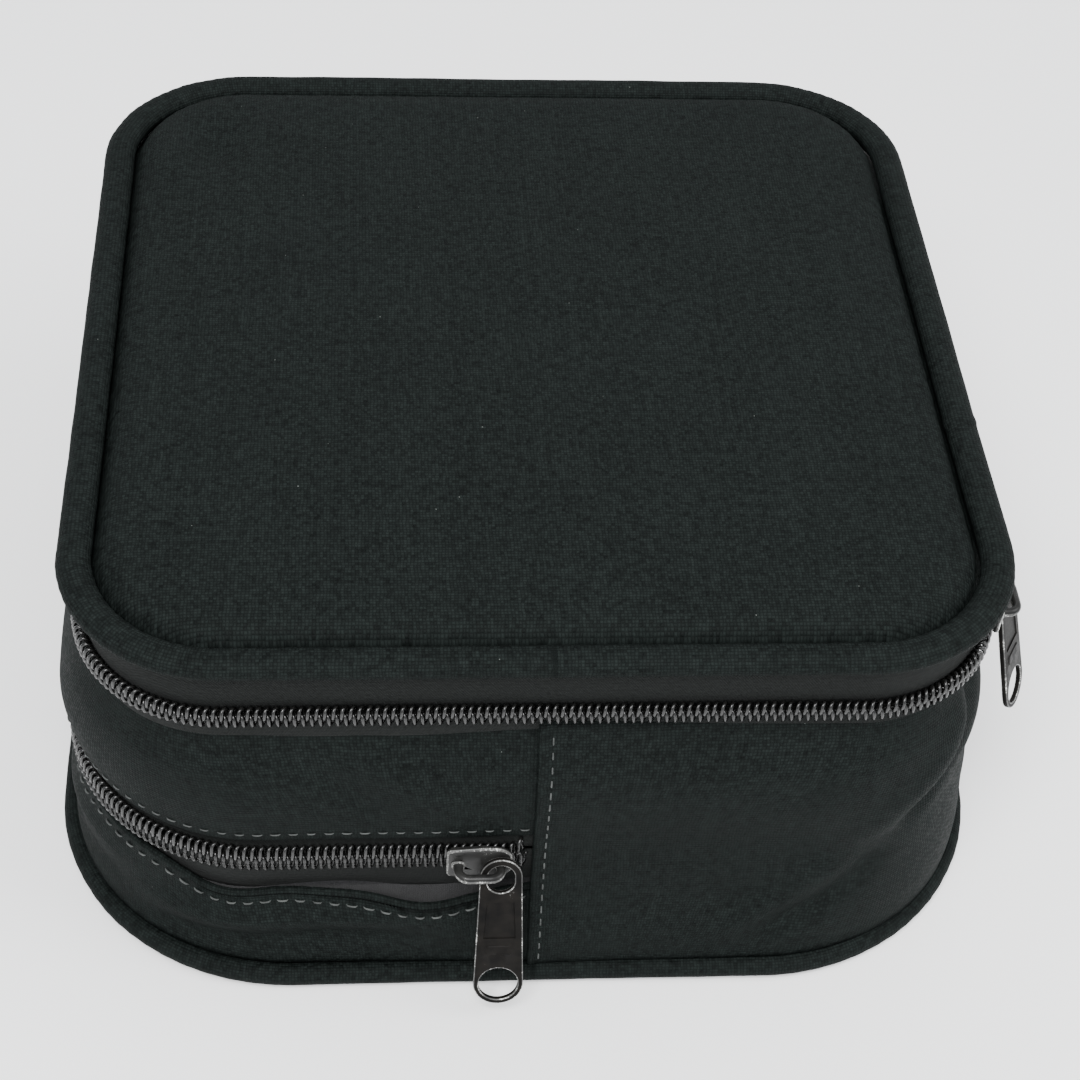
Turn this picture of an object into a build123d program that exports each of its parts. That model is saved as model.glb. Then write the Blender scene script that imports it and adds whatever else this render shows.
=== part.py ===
"""Soft two-storey carry case for tabletop miniatures.

The case is a fabric box with rounded corners. A padded, piped lid hinges on a fabric band along the
+X side and closes with a coil zip that runs round the other three sides. A foam tray with pockets
stands on a board that divides the case, and a second zip, round the -X half of the wall, opens the
low compartment under that board.

Frame: millimetres, +Z up, origin on the floor at the centre of the base. -Y is the face with the
lower slider, and +X is the hinge side. An "inset" is measured inwards from the wall's outer face.
"""

from build123d import *
from math import cos, radians, sin, tan
import os

# ---- Driving dimensions -------------------------------------------------------------------------
# The soft wall spreads downwards, so it has three outlines: X by Y, and the corner radius.
TOP_W, TOP_D, TOP_R = 170.0, 175.0, 28.0  # at the lid
LOW_W, LOW_D, LOW_R = 178.0, 181.0, 38.0  # at the lower zip
BASE_W, BASE_D, BASE_R = 184.0, 189.0, 46.0  # at the floor
SPLAY_Z = 25.0  # up to here the wall runs in from the base outline to the low one
FLARE_Z0, FLARE_Z1 = 42.0, 64.0  # and between these heights from the low outline to the top one
MAIN_ZIP_Z = 71.0  # centreline of the lid's zip
LOWER_ZIP_Z = 34.0  # centreline of the lower compartment's zip
LID_SEAM_Z = 82.0  # underside of the lid's piping

CLOTH = 0.8  # outer fabric
LINING = 0.6  # inner fabric and zip tape
FOAM_WALL = 3.0
PIPING_R, PIPING_CORD_R = 2.2, 1.2
GAP = 0.15  # between pieces that move apart

# Coil zip, a number 5: each half of the chain is a plain strip, and the strips stand apart by the
# width of the slider's neck.
COIL_HALF, COIL_THICK, CHAIN_GAP = 3.1, 2.2, 1.0
TAPE_INSET = 2 * CLOTH  # the tape lies behind both layers of the lapped wall panels
COIL_INSET = TAPE_INSET - COIL_THICK
LAP = 6.0  # how far the -X panels run under the +X panels at the two wall seams

# With the lower zip open, the case above it tips about the ends of the lap, as far as the slack cloth
# of the +X panels lets it. The lower one of those solids leaves that much room under the upper one.
TIP_ROOM_ANGLE = 8.6  # degrees

# Slider and pull tab
SLIDER_L, SLIDER_PLATE = 12.4, 1.0
OUTER_CLEARANCE, INNER_CLEARANCE = 0.25, 0.85
NECK_T = 0.7
BAIL_R, BAIL_SPAN, BAIL_RISE, BAIL_BEND = 0.9, 8.0, 3.5, 2.0
PULL_T, EYE_R, EYE_HOLE_R, EYE_STRETCH = 1.1, 4.0, 2.6, 1.0
PULL_END_R, PULL_HOLE_R, PULL_REACH = 4.8, 3.8, 26.3
EYE_DROP = EYE_HOLE_R - BAIL_R - 0.55  # the eye hangs on the bail with room for the tab's lean
LOWER_PULL_LEAN, MAIN_PULL_LEAN, MAIN_PULL_TWIST = 17.0, 15.0, 30.0  # degrees

# Foam tray
TRAY_COLUMNS, TRAY_ROWS = 4, 3
POCKET_X, POCKET_Y, POCKET_WEB, POCKET_R = 32.0, 44.0, 6.0, 5.0

# ---- Heights worked out from those --------------------------------------------------------------
BASE_BOARD = 2.0
BASE_PIPING_Z = PIPING_R + 0.2
WALL_Z0 = BASE_PIPING_Z + PIPING_R + 0.1
BASE_TOP = CLOTH + BASE_BOARD + LINING
DIVIDER_Z = FLARE_Z0 + 0.6
DIVIDER_BOARD = 2.0
TRAY_FLOOR_Z = DIVIDER_Z + 2 * LINING + DIVIDER_BOARD + 0.2
TRAY_FLOOR = 5.0
TRAY_Z, TRAY_TOP = TRAY_FLOOR_Z + TRAY_FLOOR + 0.2, 73.0
WALL_FOAM_TOP = 66.0
LOWER_FOLD_Z, UPPER_FOLD_Z = SPLAY_Z, LOWER_ZIP_Z + 4.5  # folded edges beside the lower zip
MAIN_FOLD_Z = MAIN_ZIP_Z - 3.5  # folded edge under the lid's zip
LID_PIPING_Z = LID_SEAM_Z + PIPING_R
LID_LINING_Z = LID_SEAM_Z - 1.4
LID_BOARD, LID_FOAM, LID_PAD = 1.5, 5.3, 5.0

# The zip's tail: beyond this plane, on the hinge side, both halves of the zip stay with the wall.
CORNER_X, CORNER_Y = TOP_W / 2 - TOP_R, TOP_D / 2 - TOP_R
TAIL_X = CORNER_X + TOP_R * 0.88
TAIL_END_Y = CORNER_Y - 10.0
LID_HINGE_X, LID_HINGE_Z = TOP_W / 2 + PIPING_R, LID_SEAM_Z - GAP
LOWER_SLIDER_X = -11.0

parts = {}


def keep(name, builder):
    """Labels a finished piece and puts it on the list to be written."""
    builder.part.label = name
    parts[name] = builder.part


# ---- Outlines and simple solids -----------------------------------------------------------------
def top_outline(inset, mode=Mode.ADD):
    RectangleRounded(TOP_W - 2 * inset, TOP_D - 2 * inset, TOP_R - inset, mode=mode)


def low_outline(inset, mode=Mode.ADD):
    RectangleRounded(LOW_W - 2 * inset, LOW_D - 2 * inset, LOW_R - inset, mode=mode)


def base_outline(inset, mode=Mode.ADD):
    RectangleRounded(BASE_W - 2 * inset, BASE_D - 2 * inset, BASE_R - inset, mode=mode)


def plate(outline, inset, z0, z1):
    with BuildSketch(Plane.XY.offset(z0)) as section:
        outline(inset)
    extrude(section.sketch, amount=z1 - z0)


def ring(outline, outer, inner, z0, z1):
    """A band of the outline, from one inset to another and from z0 to z1."""
    with BuildSketch(Plane.XY.offset(z0)) as section:
        outline(outer)
        outline(inner, mode=Mode.SUBTRACT)
    extrude(section.sketch, amount=z1 - z0)


def straight_core(outline, inset, z0, z1, mode):
    """Everything inside the wall's face at an inset, over a stretch with one outline."""
    with BuildSketch(Plane.XY.offset(z0)) as section:
        outline(inset)
    extrude(section.sketch, amount=z1 - z0, mode=mode)


def sloping_core(low, high, inset, z0, z1, mode):
    """The same over a stretch that runs from one outline at z0 to another at z1."""
    with BuildSketch(Plane.XY.offset(z0)) as bottom:
        low(inset)
    with BuildSketch(Plane.XY.offset(z1)) as top:
        high(inset)
    loft([bottom.sketch, top.sketch], ruled=True, mode=mode)


def wall_below_zip(inset, z1, mode):
    sloping_core(base_outline, low_outline, inset, WALL_Z0, SPLAY_Z, mode)
    if z1 > SPLAY_Z:
        straight_core(low_outline, inset, SPLAY_Z, z1, mode)


def wall_above_zip(inset, z0, mode):
    straight_core(low_outline, inset, z0, FLARE_Z0, mode)
    sloping_core(low_outline, top_outline, inset, FLARE_Z0, FLARE_Z1, mode)
    straight_core(top_outline, inset, FLARE_Z1, MAIN_FOLD_Z, mode)


def keep_below_x(x):
    split(bisect_by=Plane.YZ.offset(x), keep=Keep.BOTTOM)


def keep_above_x(x):
    split(bisect_by=Plane.YZ.offset(x), keep=Keep.TOP)


def cut_hinge_side(half_y):
    """Removes the middle of the +X side, between -half_y and half_y."""
    with BuildSketch() as middle:
        with Locations((TOP_W / 2, 0)):
            Rectangle(TOP_R * 2, 2 * half_y)
    extrude(middle.sketch, amount=2 * LID_SEAM_Z, mode=Mode.SUBTRACT)


def piping(outline_size, z, r_outer, r_inner=0.0):
    """A round bead, or a hollow one, that follows an outline at height z."""
    w, d, r = outline_size
    with BuildLine(Plane.XY.offset(z)) as path:
        a, b = w / 2 - r, d / 2 - r
        Line((-a, -d / 2), (a, -d / 2))
        RadiusArc((a, -d / 2), (w / 2, -b), -r)
        Line((w / 2, -b), (w / 2, b))
        RadiusArc((w / 2, b), (a, d / 2), -r)
        Line((a, d / 2), (-a, d / 2))
        RadiusArc((-a, d / 2), (-w / 2, b), -r)
        Line((-w / 2, b), (-w / 2, -b))
        RadiusArc((-w / 2, -b), (-a, -d / 2), -r)
    start = Plane(origin=(-a, -d / 2, z), x_dir=(0, 1, 0), z_dir=(1, 0, 0))
    with BuildSketch(start) as section:
        Circle(r_outer)
        if r_inner:
            Circle(r_inner, mode=Mode.SUBTRACT)
    sweep(section.sketch, path=path.wires()[0])


# ---- Base ---------------------------------------------------------------------------------------
BASE_INSET = PIPING_R + 0.2

with BuildPart() as base_cover:
    plate(base_outline, BASE_INSET, 0, CLOTH)
keep("base_cover", base_cover)

with BuildPart() as base_board:
    plate(base_outline, BASE_INSET + 0.6, CLOTH, CLOTH + BASE_BOARD)
keep("base_board", base_board)

with BuildPart() as base_lining:
    plate(base_outline, BASE_INSET + 0.6, CLOTH + BASE_BOARD, BASE_TOP)
keep("base_lining", base_lining)

BASE_SIZE, TOP_SIZE = (BASE_W, BASE_D, BASE_R), (TOP_W, TOP_D, TOP_R)

with BuildPart() as base_piping:
    piping(BASE_SIZE, BASE_PIPING_Z, PIPING_R, PIPING_CORD_R)
keep("base_piping", base_piping)

with BuildPart() as base_piping_cord:
    piping(BASE_SIZE, BASE_PIPING_Z, PIPING_CORD_R - 0.02)
keep("base_piping_cord", base_piping_cord)

with BuildPart() as lower_side_panel:
    wall_below_zip(CLOTH, LOWER_FOLD_Z, Mode.ADD)
    wall_below_zip(2 * CLOTH, LOWER_FOLD_Z, Mode.SUBTRACT)
    keep_below_x(LAP)
keep("lower_side_panel", lower_side_panel)

with BuildPart() as hinge_panel_lower:
    wall_below_zip(0, LOWER_ZIP_Z - GAP, Mode.ADD)
    wall_below_zip(CLOTH, LOWER_ZIP_Z - GAP, Mode.SUBTRACT)
    keep_above_x(0)
    with BuildSketch(Plane.XZ) as room_to_tip:
        with BuildLine():
            slope_end = (LAP + BASE_W, LOWER_ZIP_Z - BASE_W * tan(radians(TIP_ROOM_ANGLE)))
            Polyline((LAP, LOWER_ZIP_Z), (LAP + BASE_W, LOWER_ZIP_Z), slope_end, close=True)
        make_face()
    extrude(amount=BASE_D, both=True, mode=Mode.SUBTRACT)
keep("hinge_panel_lower", hinge_panel_lower)

with BuildPart() as lower_lining:
    ring(low_outline, BASE_INSET, BASE_INSET + LINING, BASE_TOP + 0.1, LOWER_FOLD_Z - 0.5)
keep("lower_lining", lower_lining)

with BuildPart() as lower_zip_tape_bottom:
    ring(low_outline, TAPE_INSET, TAPE_INSET + LINING, LOWER_ZIP_Z - 13, LOWER_ZIP_Z - CHAIN_GAP / 2)
    keep_below_x(LAP - 1)
keep("lower_zip_tape_bottom", lower_zip_tape_bottom)

with BuildPart() as lower_zip_coil_bottom:
    ring(low_outline, COIL_INSET, TAPE_INSET, LOWER_ZIP_Z - COIL_HALF, LOWER_ZIP_Z - CHAIN_GAP / 2)
    keep_below_x(-0.4)
keep("lower_zip_coil_bottom", lower_zip_coil_bottom)

# ---- Upper case: walls, divider and tray --------------------------------------------------------
with BuildPart() as upper_side_panel:
    wall_above_zip(CLOTH, UPPER_FOLD_Z, Mode.ADD)
    wall_above_zip(2 * CLOTH, UPPER_FOLD_Z, Mode.SUBTRACT)
    keep_below_x(LAP)
keep("upper_side_panel", upper_side_panel)

with BuildPart() as hinge_panel_upper:
    wall_above_zip(0, LOWER_ZIP_Z + GAP, Mode.ADD)
    wall_above_zip(CLOTH, LOWER_ZIP_Z + GAP, Mode.SUBTRACT)
    keep_above_x(0)
keep("hinge_panel_upper", hinge_panel_upper)

with BuildPart() as hinge_band:
    ring(top_outline, 0, CLOTH, MAIN_FOLD_Z + 0.1, LID_HINGE_Z - 0.2)
    keep_above_x(TAIL_X)
    with BuildSketch():
        with Locations((TOP_W / 2, 0)):
            Rectangle(2 * TOP_R, 2 * TAIL_END_Y)
    extrude(amount=2 * LID_SEAM_Z, mode=Mode.INTERSECT)
keep("hinge_band", hinge_band)

with BuildPart() as lower_zip_tape_top:
    ring(low_outline, TAPE_INSET, TAPE_INSET + LINING, LOWER_ZIP_Z + CHAIN_GAP / 2, FLARE_Z0)
    keep_below_x(LAP - 1)
keep("lower_zip_tape_top", lower_zip_tape_top)

with BuildPart() as lower_zip_coil_top:
    ring(low_outline, COIL_INSET, TAPE_INSET, LOWER_ZIP_Z + CHAIN_GAP / 2, LOWER_ZIP_Z + COIL_HALF)
    keep_below_x(-0.4)
keep("lower_zip_coil_top", lower_zip_coil_top)

with BuildPart() as divider_underlay:
    plate(low_outline, BASE_INSET, DIVIDER_Z, DIVIDER_Z + LINING)
keep("divider_underlay", divider_underlay)

with BuildPart() as divider_board:
    plate(top_outline, BASE_INSET, DIVIDER_Z + LINING, DIVIDER_Z + LINING + DIVIDER_BOARD)
keep("divider_board", divider_board)

with BuildPart() as divider_cover:
    z = DIVIDER_Z + LINING + DIVIDER_BOARD
    plate(top_outline, BASE_INSET, z, z + LINING)
keep("divider_cover", divider_cover)

FOAM_INSET = BASE_INSET + FOAM_WALL

with BuildPart() as wall_foam:
    ring(top_outline, BASE_INSET, FOAM_INSET, TRAY_FLOOR_Z, WALL_FOAM_TOP)
keep("wall_foam", wall_foam)

with BuildPart() as case_lining:
    ring(top_outline, FOAM_INSET + 0.1, FOAM_INSET + 0.1 + LINING, TRAY_FLOOR_Z, WALL_FOAM_TOP)
keep("case_lining", case_lining)

TRAY_INSET = FOAM_INSET + LINING + 0.4

with BuildPart() as tray_floor:
    plate(top_outline, TRAY_INSET, TRAY_FLOOR_Z, TRAY_FLOOR_Z + TRAY_FLOOR)
keep("tray_floor", tray_floor)

with BuildPart() as foam_tray:
    with BuildSketch(Plane.XY.offset(TRAY_Z)):
        top_outline(TRAY_INSET)
        with GridLocations(POCKET_X + POCKET_WEB, POCKET_Y + POCKET_WEB, TRAY_COLUMNS, TRAY_ROWS):
            RectangleRounded(POCKET_X, POCKET_Y, POCKET_R, mode=Mode.SUBTRACT)
    extrude(amount=TRAY_TOP - TRAY_Z)
keep("foam_tray", foam_tray)

# ---- Main zip -----------------------------------------------------------------------------------
with BuildPart() as main_zip_tape_lower:
    ring(top_outline, TAPE_INSET, TAPE_INSET + LINING, MAIN_ZIP_Z - 9, MAIN_ZIP_Z - CHAIN_GAP / 2)
    cut_hinge_side(TAIL_END_Y - 3)
keep("main_zip_tape_lower", main_zip_tape_lower)

with BuildPart() as main_zip_coil_lower:
    ring(top_outline, COIL_INSET, TAPE_INSET, MAIN_ZIP_Z - COIL_HALF, MAIN_ZIP_Z - CHAIN_GAP / 2)
    cut_hinge_side(TAIL_END_Y + 0.3)
keep("main_zip_coil_lower", main_zip_coil_lower)

with BuildPart() as main_zip_tail_tape:
    ring(top_outline, TAPE_INSET, TAPE_INSET + LINING, MAIN_ZIP_Z + CHAIN_GAP / 2, LID_HINGE_Z - 0.2)
    cut_hinge_side(TAIL_END_Y - 3)
    keep_above_x(TAIL_X + GAP)
keep("main_zip_tail_tape", main_zip_tail_tape)

with BuildPart() as main_zip_tail_coil:
    ring(top_outline, COIL_INSET, TAPE_INSET, MAIN_ZIP_Z + CHAIN_GAP / 2, MAIN_ZIP_Z + COIL_HALF)
    cut_hinge_side(TAIL_END_Y + 0.3)
    keep_above_x(TAIL_X + GAP)
keep("main_zip_tail_coil", main_zip_tail_coil)

with BuildPart() as main_zip_tape_upper:
    ring(top_outline, TAPE_INSET, TAPE_INSET + LINING, MAIN_ZIP_Z + CHAIN_GAP / 2, LID_SEAM_Z + 0.4)
    keep_below_x(TAIL_X - GAP)
keep("main_zip_tape_upper", main_zip_tape_upper)

with BuildPart() as main_zip_coil_upper:
    ring(top_outline, COIL_INSET, TAPE_INSET, MAIN_ZIP_Z + CHAIN_GAP / 2, MAIN_ZIP_Z + COIL_HALF)
    keep_below_x(TAIL_X - GAP)
keep("main_zip_coil_upper", main_zip_coil_upper)

# ---- Lid ----------------------------------------------------------------------------------------
LID_INSET = PIPING_R + 0.1
LID_FOAM_Z = LID_LINING_Z + LINING + LID_BOARD

with BuildPart() as lid_piping:
    piping(TOP_SIZE, LID_PIPING_Z, PIPING_R, PIPING_CORD_R)
keep("lid_piping", lid_piping)

with BuildPart() as lid_piping_cord:
    piping(TOP_SIZE, LID_PIPING_Z, PIPING_CORD_R - 0.02)
keep("lid_piping_cord", lid_piping_cord)

with BuildPart() as lid_lining:
    plate(top_outline, LID_INSET, LID_LINING_Z, LID_LINING_Z + LINING)
keep("lid_lining", lid_lining)

with BuildPart() as lid_board:
    plate(top_outline, LID_INSET, LID_LINING_Z + LINING, LID_FOAM_Z)
keep("lid_board", lid_board)

with BuildPart() as lid_foam:
    plate(top_outline, LID_INSET + CLOTH, LID_FOAM_Z, LID_FOAM_Z + LID_FOAM)
    fillet(lid_foam.faces().sort_by(Axis.Z)[-1].edges(), radius=4.0)
keep("lid_foam", lid_foam)

with BuildPart() as lid_cover:
    plate(top_outline, LID_INSET, LID_FOAM_Z, LID_FOAM_Z + LID_FOAM + CLOTH)
    fillet(lid_cover.faces().sort_by(Axis.Z)[-1].edges(), radius=4.0 + CLOTH)
    add(lid_foam.part, mode=Mode.SUBTRACT)
keep("lid_cover", lid_cover)

with BuildPart() as lid_pad:
    plate(top_outline, TRAY_INSET + 1, LID_LINING_Z - LID_PAD, LID_LINING_Z)
keep("lid_pad", lid_pad)

with BuildPart() as lid_binding:
    ring(top_outline, LID_INSET, LID_INSET + 1.5, LID_LINING_Z - 3, LID_LINING_Z)
    keep_below_x(TAIL_X - GAP)
keep("lid_binding", lid_binding)


# ---- Sliders and pull tabs ----------------------------------------------------------------------
def slider_plate(frame, offset):
    """One of a slider's two plates: wide shoulders ahead of a narrower tail, on rounded corners."""
    tail, nose = -SLIDER_L / 2, SLIDER_L / 2
    half = [(tail, 3.8), (1.5, 4.5), (4.4, 4.1), (nose, 2.4)]
    with BuildSketch(frame.offset(offset)) as face:
        with BuildLine():
            Polyline(*half, *[(x, -y) for x, y in reversed(half)], close=True)
        make_face()
        fillet(face.vertices(), 0.9)
    extrude(face.sketch, amount=SLIDER_PLATE)


def make_slider(name, frame):
    """A slider body on the chain whose outer wall face lies in frame, with its bail of round wire."""
    outer = OUTER_CLEARANCE - COIL_INSET
    inner = -(TAPE_INSET + LINING + INNER_CLEARANCE) - SLIDER_PLATE
    with BuildPart() as body:
        slider_plate(frame, outer)
        rim = body.faces().filter_by(frame).sort_by(lambda f: frame.to_local_coords(f.center()).Z)[-1]
        fillet(rim.outer_wire().edges(), 0.35)
        slider_plate(frame, inner)
        with BuildSketch(frame.offset(inner)):
            with Locations((3.0, 0)):
                RectangleRounded(5.0, NECK_T, NECK_T / 2 - 0.01)
        extrude(amount=outer - inner + SLIDER_PLATE / 2)
    keep(name + "_body", body)

    base = outer + SLIDER_PLATE
    side = Plane(origin=frame.origin, x_dir=frame.x_dir, z_dir=-frame.y_dir)
    half = BAIL_SPAN / 2
    with BuildPart() as bail:
        with BuildLine(side) as path:
            FilletPolyline(
                (-half, base), (-half, base + BAIL_RISE), (half, base + BAIL_RISE), (half, base),
                radius=BAIL_BEND,
            )
        with BuildSketch(Plane(origin=path.wires()[0] @ 0, z_dir=path.wires()[0] % 0)):
            Circle(BAIL_R)
        sweep(path=path.wires()[0])
    keep(name + "_bail", bail)
    return base


def make_pull(name, pivot, normal, lean):
    """A tapered pull tab that hangs on a bail at pivot. normal is level, and lean swings its tip out."""
    tilt = radians(lean)
    outwards = normal * cos(tilt) + Vector(0, 0, sin(tilt))
    tab = Plane(origin=pivot, x_dir=Vector(0, 0, 1).cross(normal), z_dir=outwards)
    with BuildPart() as pull:
        with BuildSketch(tab.offset(-PULL_T / 2)):
            with BuildLine():
                CenterArc((0, -EYE_DROP), EYE_R, 0, 360)
                CenterArc((0, -PULL_REACH), PULL_END_R, 0, 360)
            make_hull()
            with Locations((0, -EYE_DROP - EYE_STRETCH / 2)):
                SlotCenterToCenter(EYE_STRETCH, 2 * EYE_HOLE_R, rotation=90, mode=Mode.SUBTRACT)
            with Locations((0, -PULL_REACH)):
                Circle(PULL_HOLE_R, mode=Mode.SUBTRACT)
        extrude(amount=PULL_T)
        chamfer(pull.edges().filter_by(lambda e: e.length > 12), 0.2)
        with BuildSketch(tab.offset(PULL_T / 2)):
            with Locations((0, -11.2)):
                Trapezoid(6.2, 8.4, 86.5, rotation=180)
        extrude(amount=-0.2, mode=Mode.SUBTRACT)
        with BuildSketch(tab.offset(PULL_T / 2 - 0.01)):
            with Locations((0, -18.2)):
                RectangleRounded(5.4, 2.2, 0.4)
        extrude(amount=0.2)
    keep(name, pull)


lower_frame = Plane(
    origin=(LOWER_SLIDER_X, -LOW_D / 2, LOWER_ZIP_Z), x_dir=(1, 0, 0), z_dir=(0, -1, 0)
)
plate_top = make_slider("lower_slider", lower_frame)
lower_pivot = lower_frame.from_local_coords(Vector(BAIL_SPAN / 2, 0, plate_top + 1.7))
make_pull("lower_pull", lower_pivot, Vector(0, -1, 0), LOWER_PULL_LEAN)

main_frame = Plane(origin=(TOP_W / 2, -CORNER_Y, MAIN_ZIP_Z), x_dir=(0, 1, 0), z_dir=(1, 0, 0))
make_slider("main_slider", main_frame)
# The main pull has slid round to the bail's bend, so it hangs twisted towards the corner.
bend_point = Vector(0, BAIL_BEND, 0).rotate(Axis.Z, MAIN_PULL_TWIST - 90)
main_pivot = main_frame.from_local_coords(
    Vector(
        BAIL_SPAN / 2 - BAIL_BEND + bend_point.X, 0, plate_top + BAIL_RISE - BAIL_BEND + bend_point.Y
    )
)
main_normal = Vector(1, 0, 0).rotate(Axis.Z, -MAIN_PULL_TWIST)
make_pull("main_pull", main_pivot, main_normal, MAIN_PULL_LEAN)

# ---- Write --------------------------------------------------------------------------------------
os.makedirs("parts", exist_ok=True)
for name, part in parts.items():
    export_step(part, f"parts/{name}.step")

print("lid hinge axis: X", LID_HINGE_X, "Z", LID_HINGE_Z)
print("front +X corner of the lid zip: centre X", CORNER_X, "Y", -CORNER_Y)
print("lower pull pivot", lower_pivot, "main pull pivot", main_pivot, "normal", main_normal)
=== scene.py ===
import math

import bmesh
import bpy
import numpy as np
from mathutils import Matrix, Vector
from mathutils.geometry import delaunay_2d_cdt


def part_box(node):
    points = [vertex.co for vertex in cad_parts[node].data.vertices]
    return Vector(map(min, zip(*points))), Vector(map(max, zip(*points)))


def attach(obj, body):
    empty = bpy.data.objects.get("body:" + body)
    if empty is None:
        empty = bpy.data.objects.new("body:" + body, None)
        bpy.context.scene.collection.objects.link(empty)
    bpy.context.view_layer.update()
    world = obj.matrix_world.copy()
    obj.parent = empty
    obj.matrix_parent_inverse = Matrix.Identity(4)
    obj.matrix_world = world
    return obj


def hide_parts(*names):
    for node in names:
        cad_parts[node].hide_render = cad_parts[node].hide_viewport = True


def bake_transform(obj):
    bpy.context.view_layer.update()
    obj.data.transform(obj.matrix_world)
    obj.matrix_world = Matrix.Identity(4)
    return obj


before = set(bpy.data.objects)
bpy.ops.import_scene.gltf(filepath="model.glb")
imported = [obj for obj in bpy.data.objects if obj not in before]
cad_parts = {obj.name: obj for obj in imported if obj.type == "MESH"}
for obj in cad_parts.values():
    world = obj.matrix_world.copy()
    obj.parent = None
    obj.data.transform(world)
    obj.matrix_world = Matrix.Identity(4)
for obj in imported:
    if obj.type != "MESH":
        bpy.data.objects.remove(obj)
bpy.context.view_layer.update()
MM = 0.001
TAU = 2 * math.pi


# ---- The case's outlines, in millimetres, read from the frame ------------------------------------
def node_box(node):
    lo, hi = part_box(node)
    return np.array(lo) / MM, np.array(hi) / MM


def outline_of(node, proud, radius):
    """(width, depth, corner radius) of the outline that a node's box stands proud of."""
    lo, hi = node_box(node)
    depth = hi[1] - lo[1] - 2 * proud
    width = -2 * lo[0] - 2 * proud
    return width, depth, radius


piping_lo, piping_hi = node_box("lid_piping")
PIPE = (piping_hi[2] - piping_lo[2]) / 2
COIL_PROUD = 0.6
TOP = outline_of("lid_piping", PIPE, 28.0)
LOW = outline_of("lower_zip_coil_top", COIL_PROUD, 38.0)
BASE = outline_of("base_piping", PIPE, 46.0)
WALL_Z0 = node_box("lower_side_panel")[0][2]
SPLAY_Z = node_box("lower_side_panel")[1][2]
UPPER_FOLD = node_box("upper_side_panel")[0][2]
MAIN_FOLD = node_box("upper_side_panel")[1][2]
LOWER_ZIP = (node_box("lower_zip_coil_top")[0][2] + node_box("lower_zip_coil_bottom")[1][2]) / 2
MAIN_ZIP = (node_box("main_zip_coil_upper")[0][2] + node_box("main_zip_coil_lower")[1][2]) / 2
LID_SEAM = piping_lo[2]
LID_PIPE_Z = (piping_lo[2] + piping_hi[2]) / 2
BASE_PIPE_Z = sum(z[2] for z in node_box("base_piping")) / 2
FLARE_Z0, FLARE_Z1 = 42.0, 64.0

# u runs along the low outline in mm: 0 at the front seam, growing round the zipped (-X) side.
HALF_X, HALF_Y = LOW[0] / 2 - LOW[2], LOW[1] / 2 - LOW[2]
ARC = math.pi / 2 * LOW[2]
STOPS = np.cumsum([0, HALF_X, ARC, 2 * HALF_Y, ARC, 2 * HALF_X, ARC, 2 * HALF_Y, ARC, HALF_X])
U_LEFT_FRONT, U_LEFT_BACK = STOPS[2], STOPS[3]
U_BACK = (STOPS[4] + STOPS[5]) / 2
U_RIGHT_BACK, U_RIGHT_FRONT = STOPS[6], STOPS[7]
U_END = STOPS[9]


def outline(u, size, inset=0.0):
    """Points and outward normals of an outline at places u, each as an (n, 2) array."""
    w, d, r = size
    a, b = w / 2 - r, d / 2 - r
    u = np.mod(np.asarray(u, float), U_END)
    section = np.clip(np.searchsorted(STOPS, u, side="right") - 1, 0, 8)
    t = (u - STOPS[section]) / (STOPS[section + 1] - STOPS[section])
    straight = {
        0: ((0, -1), (-a, -1), (0, -1)), 2: ((-1, -b), (-1, b), (-1, 0)), 4: ((-a, 1), (a, 1), (0, 1)),
        6: ((1, b), (1, -b), (1, 0)), 8: ((a, -1), (0, -1), (0, -1)),
    }
    centres = {1: (-a, -b, -90), 3: (-a, b, -180), 5: (a, b, -270), 7: (a, -b, -360)}
    xy = np.zeros((len(u), 2))
    n = np.zeros((len(u), 2))
    for k, (p, q, normal) in straight.items():
        m = section == k
        side = np.array([w / 2 - inset, d / 2 - inset])
        p, q = (np.array([v[0] if normal[0] == 0 else v[0] * side[0],
                          v[1] if normal[1] == 0 else v[1] * side[1]]) for v in (p, q))
        xy[m] = p + (q - p) * t[m, None]
        n[m] = normal
    for k, (cx, cy, start) in centres.items():
        m = section == k
        angle = np.radians(start - 90 * t[m])
        n[m] = np.c_[np.cos(angle), np.sin(angle)]
        xy[m] = np.array([cx, cy]) + (r - inset) * n[m]
    return xy, n


def smooth(t):
    t = np.clip(t, 0, 1)
    return t * t * (3 - 2 * t)


def bump(x, centre, width):
    return np.exp(-(((x - centre) / width) ** 2))


def wall_frame(u, z, inset=0.0):
    """Points (n, 3) on the wall at places u and heights z, with its outward normals (n, 3)."""
    base, n0 = outline(u, BASE, inset)
    low, n1 = outline(u, LOW, inset)
    top, n2 = outline(u, TOP, inset)
    s = smooth((z - WALL_Z0) / (SPLAY_Z - WALL_Z0))[:, None]
    f = smooth((z - FLARE_Z0) / (FLARE_Z1 - FLARE_Z0))[:, None]
    xy = (base * (1 - s) + low * s) * (1 - f) + top * f
    n = (n0 * (1 - s) + n1 * s) * (1 - f) + n2 * f
    n /= np.linalg.norm(n, axis=1)[:, None]
    return np.c_[xy, z], np.c_[n, np.zeros(len(z))]


def ripple(u, z, seed, scale, count=5):
    """A few slow sine waves over the cloth, between -1 and 1, that close round the case."""
    r = np.random.default_rng(seed)
    total = np.zeros_like(u, float)
    for _ in range(count):
        turns = r.integers(3, 3 + int(scale))
        total += np.sin(TAU * turns * u / U_END + r.uniform(0, TAU) + z * r.uniform(-0.16, 0.16))
    return total / count


def wrapped(u, centre):
    """Distance along the outline from centre, the short way round."""
    return np.mod(u - centre + U_END / 2, U_END) - U_END / 2


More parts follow.
